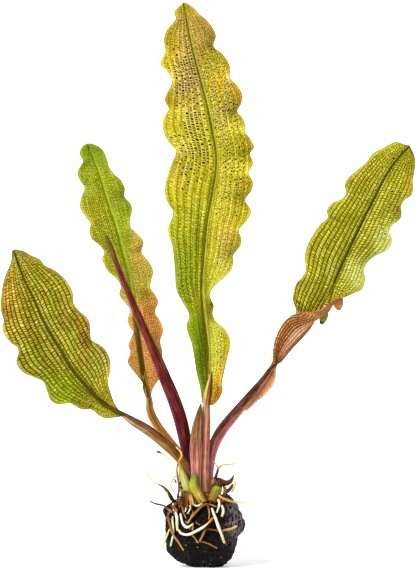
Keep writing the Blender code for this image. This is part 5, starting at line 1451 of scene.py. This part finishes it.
def zone_shares(looks, spots, u, v):
    """How strongly each point lies in each zone of a leaf."""
    shares = {}
    for name in [*looks["tints"], "dots", "even", "fine", "bare"]:
        total = np.zeros(len(spots))
        for x, z, wide, tall, strength in looks["zones"].get(name, []):
            far = ((spots[:, 0] - x) / wide) ** 2 + ((spots[:, 2] - z) / tall) ** 2
            total = np.maximum(total, strength * np.exp(-far))
        for first, last, low, high, strength in looks.get("stretches", {}).get(name, []):
            inside = band(first, last, 0.02, u) * band(low, high, 0.06, v)
            total = np.maximum(total, strength * inside)
        shares[name] = total
    return shares


def hollow(spots, columns, steps, length):
    """How far each point of a leaf lies behind the leaf around it, from -1 to 1."""
    depth = spots[:, 1].reshape(steps + 1, columns + 1)
    reach = max(int(HOLLOW_REACH / length * steps), 2)
    even = np.apply_along_axis(evened, 0, depth, reach)
    return np.clip((depth - even) / HOLLOW_DEPTH, -1.0, 1.0).ravel()


def leaf_lift(looks, cell, lane, edge, away, rib, wander, even):
    """How far each point of a leaf stands off its middle surface, in millimetres."""
    pleat = np.sin(pi * to_whole(lane)) ** 0.8
    inside = soft_step(0.2, 2.2, edge) * (1.0 - soft_step(0.0, 0.5, rib))
    quilt = looks["pleat"] * (pleat - 0.5) + CELL_RISE * (cell - 0.5) * (1.0 - 0.8 * np.clip(even, 0, 1))
    lift = quilt * inside + WANDER_RISE * wander * soft_step(1.0, 6.0, away)
    return lift + (RIB_RISE * soft_step(0.0, 0.9, rib) - RIB_GROOVE * band(0.02, 0.3, 0.1, rib))


def make_leaf(node, blade):
    """A leaf blade: a fine grid shaped to the blade, quilted by its net, then given thickness."""
    looks = LEAVES[node]
    steps, columns = looks["grid"]
    piece, u, v = new_grid(steps, columns)
    spots = blade.at(u, v)
    half = blade.half_width(u, v)
    away = np.abs(v) * half
    edge = half - away
    shares = zone_shares(looks, spots, u, v)
    wander = rough(spots, WANDER_SIZE, seed=1.0)
    even = np.maximum(blade.even_width(u, v), LEAST_WIDTH)
    lane = np.sign(v) * looks["lanes"] * away / even + LANE_WANDER * wander
    row = (u * blade.rib.length - away * looks["slant"]) / looks["cell"] + ROW_WANDER * wander
    rib_reach = np.interp(u, *zip(*looks["rib"]))
    rib = np.clip(1.0 - away / rib_reach, 0.0, 1.0)
    split = np.where(v < 0, *looks["split"])
    side, end = cell_sides(lane, row, split)
    cell = soft_step(0.0, LINE_WIDTH, side) * soft_step(0.0, LINE_WIDTH, end)
    lift = leaf_lift(looks, cell, lane, edge, away, rib, wander, shares["even"])
    mesh = piece.data
    set_corners(mesh, placed(spots))
    set_corners(mesh, corners(mesh) + corners(mesh, "normal") * lift[:, None] * MM)
    set_pattern(mesh, "lattice", lane, row)
    set_share(mesh, "hollow", hollow(spots, columns, steps, blade.rib.length))
    set_share(mesh, "edge", edge + MARGIN_REACH * (u < looks.get("no_margin_below", 0.0)))
    set_share(mesh, "up", u)
    set_share(mesh, "from_rib", v * half / rib_reach)
    set_share(mesh, "split", split)
    for name, share in shares.items():
        set_share(mesh, name, share)
    thick = EDGE_THICKNESS + EDGE_THICKNESS * soft_step(0.0, MARGIN_REACH, edge)
    thicken(piece, THICKEST, thick + RIB_THICKNESS * soft_step(0.0, 0.9, rib) * (1.05 - u))
    dress(piece, node, LeafFinish(node, looks).material)


def make_leaves():
    """The four blades."""
    blades = {
        "tall_leaf_blade": Blade(TALL_MIDRIB, TALL_LEFT, TALL_RIGHT),
        "left_leaf_blade": Blade(LEFT_MIDRIB, LEFT_LOWER, LEFT_UPPER),
        "back_leaf_blade": Blade(BACK_MIDRIB, BACK_LEFT, BACK_RIGHT),
        "right_leaf_blade": Blade(RIGHT_MIDRIB, RIGHT_UPPER, RIGHT_LOWER, RIGHT_BOW),
    }
    for node, blade in blades.items():
        make_leaf(node, blade)


def shape_rod(table, grid, section, flat=1.0):
    """A round piece along rows of (x, z, depth, radius), its section shaped by a rule."""
    run = Run(np.hstack((rows(table), np.array([row[3:4] for row in table], float))))
    steps, sides = grid
    deselect()
    bpy.ops.mesh.primitive_cylinder_add(vertices=sides, radius=1.0, depth=1.0)
    piece = bpy.context.object
    mesh = piece.data
    cut_across(piece, steps - 1)
    plain = corners(mesh)
    t = plain[:, 2] + 0.5
    turn = np.arctan2(plain[:, 1], plain[:, 0])
    spots = run.at(t)
    further, nearer = run.at(np.minimum(t + ROD_STEP, 1.0)), run.at(np.maximum(t - ROD_STEP, 0.0))
    ahead = further[:, :3] - nearer[:, :3]
    ahead /= np.linalg.norm(ahead, axis=1)[:, None]
    aside = np.cross(np.array((0.0, 1.0, 0.0)), ahead)
    aside /= np.linalg.norm(aside, axis=1)[:, None]
    back = np.cross(ahead, aside)
    side, front = np.cos(turn), -np.sin(turn)
    reach = (spots[:, 3] * section(t, turn))[:, None]
    points = spots[:, :3] + reach * (side[:, None] * aside - flat * front[:, None] * back)
    set_corners(mesh, placed(points))
    set_share(mesh, "side", side)
    set_share(mesh, "front", front)
    set_share(mesh, "along", t * run.length)
    set_share(mesh, "top", t)
    return piece


def ridged(count, depth):
    """A section rule with lengthwise ridges."""
    def section(t, turn):
        fine = 0.4 * depth * np.cos(FINE_RIDGES * turn)
        return 1.0 + depth * np.cos(count * turn + 0.8 * np.sin(5 * t)) + fine
    return section


def rounded(seed, uneven, blunt):
    """A section rule for a root: slightly uneven, with round ends."""
    def section(t, turn):
        wave = np.sin(9 * t + seed) + 0.6 * np.sin(23 * t + 2 * seed) + 0.4 * np.sin(2 * turn + 14 * t)
        to_end = np.clip(np.minimum(t, 1.0 - t) / blunt, 0.0, 1.0)
        end = np.sqrt(1.0 - (1.0 - to_end) ** 2)
        return (1.0 + uneven * wave) * np.maximum(end, 0.02)
    return section


def stalk_finish(node, looks):
    """A stalk's colours: bands side by side as seen from the front, its own colours with painted
    highlights among them, and lengthwise streaks.
    """
    n = Finish(node, Specular_IOR_Level=0.22)
    side, front, top = n.share("side"), n.share("front"), n.share("top")
    fibre = n.vector(side, front, n.maths("MULTIPLY", n.share("along"), 0.012))
    wide, thin = n.grain(fibre, 3.0, 1.0), n.grain(fibre, 12.0)
    patch = n.mottle(n.place(), 3.0)
    uneven = n.maths("SUBTRACT", wide, 0.5)
    turned = n.maths("MULTIPLY_ADD", uneven, 0.5, n.maths("MULTIPLY_ADD", side, 0.5, 0.5))
    patchy = n.maths("MULTIPLY_ADD", uneven, 0.4, top)
    change = n.step(patchy, *looks["change"])
    # The bands across the stalk hold its own colours and painted highlights.
    colour = n.mix(change, n.bands(turned, looks["foot"]), n.bands(turned, looks["top"]))
    if "base" in looks:
        first, last, base = looks["base"]
        colour = n.mix(n.step(patchy, first, last, 0.85, 0.0), colour, base)
    if "tip" in looks:
        first, last, tip = looks["tip"]
        colour = n.mix(n.step(top, first, last), colour, tip)
    colour = n.mix(n.step(thin, 0.5, 0.62, 0.0, 0.7), colour, looks["streak"])
    # Painted highlights along the pale streaks.
    colour = n.mix(n.step(thin, 0.34, 0.44, looks.get("gleam", 0.4), 0.0), colour, PAINTED_GLEAM_TONE)
    n.lead("Base Color", n.shaded(colour, n.step(patch, 0.3, 0.7, 0.86, 1.1)))
    n.lead("Roughness", n.step(patch, 0.3, 0.7, 0.5, 0.3))
    n.relief(n.maths("SUBTRACT", wide, thin), 0.3, 0.6)
    return n.material


def make_stalks():
    """The stalks, the sheaths and the rolled leaf."""
    for node, table in STALKS.items():
        looks = STALK_LOOKS[node]
        section = ridged(looks["ridges"], looks["ridge"])
        piece = shape_rod(table, looks["grid"], section, looks.get("flat", 1.0))
        dress(piece, node, stalk_finish(node, looks))


def root_finish(kind):
    """A root's colours from the crown to its tip, with fine lengthwise grain and stains."""
    n = Finish(kind, Roughness=0.42, Specular_IOR_Level=0.3)
    spot = n.place()
    stain = n.mottle(spot, 2.0, 3.0)
    place = n.maths("ADD", n.share("top"), n.maths("MULTIPLY_ADD", stain, 0.12, -0.06))
    along = n.maths("MULTIPLY", n.share("along"), 0.1)
    grain = n.grain(n.vector(n.share("side"), n.share("front"), along), 4.0)
    shade = n.times(n.step(grain, 0.3, 0.7, 0.78, 1.12), n.step(stain, 0.5, 0.72, 1.0, 0.78))
    n.lead("Base Color", n.shaded(n.bands(place, ROOT_TONES[kind]), shade))
    n.relief(n.mottle(spot, 0.5), 0.15, 0.5)
    return n.material


def make_roots():
    """Every root, those on the tuber standing off it by their own radius."""
    finishes = {kind: root_finish(kind) for kind in ROOT_TONES}
    tables = {}
    for side, roots in ((FRONT, FRONT_ROOTS), (BACK, BACK_ROOTS), (FRONT, LOOSE_ROOTS)):
        for name, spots in roots.items():
            tables[name] = [
                (x, z, on_tuber(x, z, radius + lift, side), radius) for x, z, lift, radius in spots
            ]
    tables.update(FREE_ROOTS)
    for seed, (name, table) in enumerate(tables.items(), start=1):
        family = name.rsplit("_", 1)[0]
        section = rounded(seed, uneven=0.07, blunt=0.04)
        if family in LOOSE_KINDS:
            kind, slot = LOOSE_KINDS[family]
            add_piece(shape_rod(table, STRIP_GRID, section), name, finishes[kind])
        else:
            kind = ROOT_KINDS.get(name, family)
            dress(shape_rod(table, ROOT_GRID, section), name, finishes[kind])


def on_tuber(x, z, lift, side):
    """The depth of a place that stands off the tuber's front or back."""
    middle = TUBER_MIDDLE[1]
    return middle + side * (middle - tuber_front(x, min(z, SEAT_HEIGHT - 1.0)) + lift)


def tuber_reach(angle):
    """How far the tuber's outline is from its middle, at angles in the front view."""
    middle_x, _, middle_z = TUBER_MIDDLE
    spokes = []
    for x, z in TUBER_OUTLINE:
        aside, up = x - middle_x, z - middle_z
        spokes.append((np.arctan2(up, aside) % (2 * pi), hypot(aside, up)))
    spokes.sort()
    first, last = spokes[0], spokes[-1]
    spokes = np.array([(last[0] - 2 * pi, last[1]), *spokes, (first[0] + 2 * pi, first[1])])
    angle = np.mod(angle, 2 * pi)
    i = np.clip(np.searchsorted(spokes[:, 0], angle, side="right") - 1, 0, len(spokes) - 2)
    t = (angle - spokes[i, 0]) / (spokes[i + 1, 0] - spokes[i, 0])
    t = t * t * (3 - 2 * t)
    return spokes[i, 1] + (spokes[i + 1, 1] - spokes[i, 1]) * t


def tuber_front(x, z):
    """The depth of the tuber's front surface, before its lumps, at a place in the front view."""
    middle_x, middle_y, middle_z = TUBER_MIDDLE
    out = hypot(x - middle_x, z - middle_z)
    share = min(out / tuber_reach(np.arctan2(z - middle_z, x - middle_x)), 1.0)
    left_over = (1.0 - share ** TUBER_SQUARENESS) ** (1 / TUBER_SQUARENESS)
    return middle_y - TUBER_HALF_DEPTH * left_over


def tuber_finish():
    """Dark, granular and damp, with pale flecks, and lighter grey in streaks on its upper right, a
    painted highlight on its streaked skin.
    """
    n = Finish("tuber", Specular_IOR_Level=0.25)
    spot = n.place()
    lumps, grains = n.mottle(spot, 6.0, 4.0), n.mottle(spot, 0.8, 5.0)
    colour = n.mix(n.step(grains, 0.4, 0.68), TUBER_TONES["pits"], TUBER_TONES["grains"])
    colour = n.mix(n.step(lumps, 0.5, 0.72, 0.0, 0.4), colour, TUBER_TONES["lumps"])
    crumbs = n.add("ShaderNodeTexVoronoi", {"Vector": spot, "Scale": 1 / (1.3 * MM)}).outputs
    chance = n.add("ShaderNodeTexWhiteNoise", {"Vector": crumbs["Color"]}).outputs["Value"]
    fleck = n.times(n.step(chance, 0.9, 0.92), n.step(crumbs["Distance"], 0.14, 0.34, 1.0, 0.0))
    colour = n.mix(fleck, colour, TUBER_TONES["flecks"])
    streaks = n.mottle(n.stretched(spot, (1.0, 1.0, 0.25), (0.0, 0.7, 0.0)), 0.7, 4.0)
    where = n.parts(spot)
    # Painted highlight: light grey laid in streaks over the upper right.
    dry = n.times(
        n.step(where["X"], 4.0 * MM, 13.0 * MM), n.step(where["Z"], 5.0 * MM, 16.0 * MM),
        n.step(streaks, 0.38, 0.62), 0.95,
    )
    n.lead("Base Color", n.mix(dry, colour, TUBER_TONES["dry"]))
    n.lead("Roughness", n.step(grains, 0.3, 0.7, 0.8, 0.42))
    n.relief(n.maths("ADD", grains, n.maths("MULTIPLY", crumbs["Distance"], -0.6)), 0.8, 1.0)
    return n.material


def make_tuber():
    """The lumpy tuber, flat where it stands."""
    deselect()
    bpy.ops.mesh.primitive_ico_sphere_add(subdivisions=7, radius=1.0)
    piece = bpy.context.object
    way = corners(piece.data)
    way /= np.linalg.norm(way, axis=1)[:, None]
    flat = np.hypot(way[:, 0], way[:, 2])
    power = TUBER_SQUARENESS
    reach = tuber_reach(np.arctan2(way[:, 2], way[:, 0]))
    size = ((flat / reach) ** power + (np.abs(way[:, 1]) / TUBER_HALF_DEPTH) ** power) ** (-1 / power)
    lumps = rough(way, LUMP_SIZE, seed=3.0, octaves=2)
    crust = rough(way * TUBER_RADIUS, CRUST_SIZE, seed=4.0, octaves=4)
    dent = TUBER_DENT - TUBER_LUMPS * lumps - TUBER_CRUST * crust
    spots = np.array(TUBER_MIDDLE) + way * (size - dent)[:, None]
    spots[:, 2] = np.maximum(spots[:, 2], 0.0) + spots[:, 1] * SIGHT_SLOPE
    set_corners(piece.data, placed(spots))
    dress(piece, "tuber", tuber_finish())


def crown_finish():
    """Brown and fibrous, with olive patches."""
    n = Finish("crown", Roughness=0.65, Specular_IOR_Level=0.12)
    spot = n.place()
    fibres = n.mottle(n.stretched(spot, (1.0, 1.0, 0.3)), 0.7, 4.0)
    colour = n.mix(n.step(fibres, 0.35, 0.65), CROWN_TONES["dark"], CROWN_TONES["light"])
    patch = n.step(n.mottle(spot, 3.0), 0.5, 0.7, 0.0, 0.6)
    n.lead("Base Color", n.mix(patch, colour, CROWN_TONES["patch"]))
    n.relief(fibres, 0.4, 0.8)
    return n.material


def make_crown():
    """The shoot base: a turned profile with upright ridges."""
    x, y = CROWN_PLACE
    low, high = CROWN_PROFILE[0][1] * MM, CROWN_PROFILE[-1][1] * MM
    deselect()
    steps, sides = CROWN_GRID
    bpy.ops.mesh.primitive_cylinder_add(
        vertices=sides, radius=CROWN_PROFILE[0][0] * MM, depth=high - low,
        location=(0.0, 0.0, (low + high) / 2),
    )
    piece = bpy.context.object
    bpy.ops.object.transform_apply(location=True, rotation=False, scale=False)
    cut_across(piece, steps - 1)
    points = corners(piece.data) / MM
    turn = np.arctan2(points[:, 1], points[:, 0])
    profile = np.array(CROWN_PROFILE)
    radius = np.interp(points[:, 2], profile[:, 1], profile[:, 0])
    fold = 0.5 + 0.5 * np.cos(CROWN_FOLDS * turn + 0.5 * points[:, 2])
    ridge = 1.0 - CROWN_FOLD_DEPTH * fold + CROWN_RIDGE_DEPTH * np.cos(CROWN_RIDGES * turn)
    points[:, 0] = x + radius * ridge * np.cos(turn)
    points[:, 1] = y + radius * ridge * np.sin(turn)
    set_corners(piece.data, points * MM)
    dress(piece, "crown", crown_finish())


def sheet_finish(name):
    """A scale, a scrap or a curl, coloured from its foot to its tip with lengthwise streaks."""
    low, high, tip, streak = SHEET_TONES[name]
    n = Finish(name, Roughness=0.45, Specular_IOR_Level=0.45)
    pattern = n.pattern("sheet")
    streaks = n.grain(n.stretched(pattern, (5.0, 0.6, 1.0)), 2.0, 3.0)
    patch = n.maths("MULTIPLY_ADD", n.mottle(n.place(), 2.0), 0.3, -0.15)
    way = n.maths("ADD", n.parts(pattern)["Y"], patch)
    colour = n.mix(n.step(way, 0.1, 0.65), low, high)
    colour = n.mix(n.step(way, 0.7, 0.95), colour, tip)
    n.lead("Base Color", n.mix(n.step(streaks, 0.5, 0.68, 0.0, 0.8), colour, streak))
    n.relief(streaks, 0.25, 0.6)
    return n.material


def shape_sheet(midrib, left, right, thickness):
    """A small thin piece, cupped and ridged."""
    piece, u, v = new_grid(*SHEET_GRID)
    spots = Blade(midrib, left, right).at(u, v)
    spots[:, 1] += SHEET_RIDGE_RISE * np.cos(v * SHEET_RIDGES) * (1 - u)
    set_corners(piece.data, placed(spots))
    set_pattern(piece.data, "sheet", v, u)
    thicken(piece, thickness)
    return piece


def make_sheets():
    """The right leaf's curls, the dry scales at the crown and the scraps beside them."""
    for name, outline in CURLS.items():
        add_piece(shape_sheet(*outline), name, sheet_finish(name))
    brown, tan = sheet_finish("dry_scale"), sheet_finish("dry_scrap")
    for node, outline in DRY_SCALES.items():
        dress(shape_sheet(*outline), node, brown)
    dress(shape_husk(), "dry_scale_left", husk_finish())
    for number, outline in enumerate(SCRAPS, start=1):
        add_piece(shape_sheet(*outline), f"dry_scrap_{number}", tan)


def shape_husk():
    """The torn papery husk left of the crown: flat strips side by side that bow out and hang."""
    pieces = []
    for number, (x, top, low, drift, radius) in enumerate(HUSK_STRIPS):
        bow = 0.5 * np.sin(2.4 * number)
        table = [
            (x, top, -8.6, 0.6 * radius),
            (x + 0.2 * drift, top - 1.4, -10.0 - 0.4 * bow, radius),
            (x + 0.6 * drift, 0.5 * (top + low), -11.0 + 0.3 * bow, 1.1 * radius),
            (x + drift, low + 0.8, -11.6 + 0.3 * bow, 0.8 * radius),
            (x + 1.1 * drift, low, -11.7, 0.3 * radius),
        ]
        section = rounded(number, uneven=0.08, blunt=0.06)
        pieces.append(shape_rod(table, STRIP_GRID, section, HUSK_FLATNESS))
    return join(pieces)


def husk_finish():
    """Papery, streaked from dark brown to pale tan, with a painted highlight towards its right strips,
    olive at its top, and fine lengthwise lines.
    """
    n = Finish("husk_strips", Roughness=0.55, Specular_IOR_Level=0.2)
    spot = n.place()
    narrow = n.stretched(spot, (1.0, 1.0, 0.15))
    bands, lines = n.mottle(narrow, 1.3), n.mottle(narrow, 0.35)
    where = n.parts(spot)
    # Painted highlight: the strips towards the right are shifted to paler tan.
    right_highlight = n.step(where["X"], -8.2 * MM, -5.8 * MM, -0.1, 0.5)
    light = n.maths("ADD", n.maths("MULTIPLY_ADD", bands, 0.8, -0.3), right_highlight)
    top = n.step(where["Z"], 28.6 * MM, 30.4 * MM, 0.0, 0.8)
    colour = n.mix(top, n.bands(light, HUSK_TONES), HUSK_TOP_TONE)
    n.lead("Base Color", n.shaded(colour, n.step(lines, 0.35, 0.65, 0.72, 1.1)))
    n.relief(lines, 0.15, 0.6)
    return n.material


def fibre_finish():
    """Brown, mottled light and dark."""
    n = Finish("crown_fibres", Roughness=0.55, Specular_IOR_Level=0.3)
    spot = n.place()
    n.lead("Base Color", n.mix(n.step(n.mottle(spot, 0.9), 0.35, 0.65), *FIBRE_TONES))
    n.relief(n.mottle(spot, 0.3), 0.1, 0.5)
    return n.material


def make_fibres():
    """Thin brown fibres that hang from the crown over the tuber."""
    chance = np.random.RandomState(5)
    pieces = []
    for first, last, height, drop, side, count in TUFTS:
        for _ in range(count):
            x = chance.uniform(first, last)
            top = height + chance.uniform(*FIBRE_TOP)
            drift = chance.uniform(*FIBRE_DRIFT)
            low = top - drop * chance.uniform(*FIBRE_DROP)
            start = TUFT_MIDDLE + side * chance.uniform(*FIBRE_START)
            bend = on_tuber(x + 0.7 * drift, FIBRE_SEAT, 0.6, side)
            end = on_tuber(x + drift, min(low, FIBRE_SEAT), 0.3, side)
            table = [
                (x, top, start, 0.2),
                (x + 0.3 * drift, top - 1.0, start + side * 1.2, 0.2),
                (x + 0.7 * drift, 0.5 * (top + low) - 0.4, bend, 0.17),
                (x + drift, low, end, 0.1),
            ]
            if np.ptp([row[1] for row in table]) < SHORTEST_FIBRE:
                continue
            pieces.append(shape_rod(table, FIBRE_GRID, rounded(x, uneven=0.2, blunt=0.1)))
    add_piece(join(pieces), "crown_fibres", fibre_finish())


def make_floor():
    """A pale floor that glows a little, as a lit white sweep does."""
    deselect()
    bpy.ops.mesh.primitive_plane_add(size=40.0, location=(0.0, 0.0, 0.0))
    floor = bpy.context.object
    floor.name = "floor"
    n = Finish("floor", Roughness=0.9, Specular_IOR_Level=0.1, Emission_Color=WHITE)
    cloudy = n.step(n.mottle(n.place(), 40.0), 0.3, 0.7)
    n.lead("Base Color", n.mix(cloudy, (0.93, 0.93, 0.93, 1.0), (0.96, 0.96, 0.96, 1.0)))
    seen = n.add("ShaderNodeLightPath").outputs["Is Camera Ray"]
    n.lead("Emission Strength", n.maths("MULTIPLY", seen, FLOOR_GLOW))
    floor.data.materials.append(n.material)


def make_room():
    """A white room: bright to the eye, even as light, and dim in the plant's gloss."""
    world = bpy.data.worlds.new("room")
    world.use_nodes = True
    n = Nodes(world.node_tree)
    path = n.add("ShaderNodeLightPath").outputs
    sky = world.node_tree.nodes["Background"].inputs
    sky["Color"].default_value = WHITE
    light = n.maths("MULTIPLY_ADD", path["Is Glossy Ray"], ROOM_GLOSS - ROOM_LIGHT, ROOM_LIGHT)
    seen = n.maths("MULTIPLY", path["Is Camera Ray"], ROOM_SEEN)
    n.feed(sky["Strength"], n.maths("MAXIMUM", light, seen))
    bpy.context.scene.world = world


def hang(name, data, place, aim):
    """Put a lamp or a camera in its place and point it."""
    holder = bpy.data.objects.new(name, data)
    bpy.context.scene.collection.objects.link(holder)
    holder.location = place
    holder.rotation_mode = "QUATERNION"
    holder.rotation_quaternion = aim.to_track_quat("-Z", "Y")
    return holder


def make_lamps():
    """Large soft lamps that all point at the plant's middle."""
    for name, kind, place, size, power in LAMPS:
        lamp = bpy.data.lights.new(name, kind)
        lamp.energy = power
        if kind == "SUN":
            lamp.angle = size
        else:
            lamp.shape, lamp.size = "DISK", size
        hang(name, lamp, place, Vector((0.0, 0.0, LAMP_AIM)) - Vector(place))


def make_camera():
    """A long lens, level with the plant's middle and looking down by the sight slope."""
    lens = bpy.data.cameras.new("camera")
    down = atan(SIGHT_SLOPE)
    away = Vector((0.0, -cos(down), sin(down)))
    middle_x, middle_z = PICTURE_MIDDLE
    lens.sensor_width = 36.0
    lens.lens = lens.sensor_width * CAMERA_FAR / (PICTURE_HEIGHT * MM * cos(down))
    lens.clip_start, lens.clip_end = 0.1, 50.0
    place = Vector((middle_x, 0.0, middle_z)) * MM + away * CAMERA_FAR
    bpy.context.scene.camera = hang("camera", lens, place, -away)


make_leaves()
make_stalks()
make_tuber()
make_crown()
make_sheets()
make_fibres()
make_roots()
make_floor()
make_room()
make_lamps()
make_camera()

scene_view = bpy.context.scene.view_settings
scene_view.view_transform = "Standard"
scene_view.look = "Medium High Contrast"
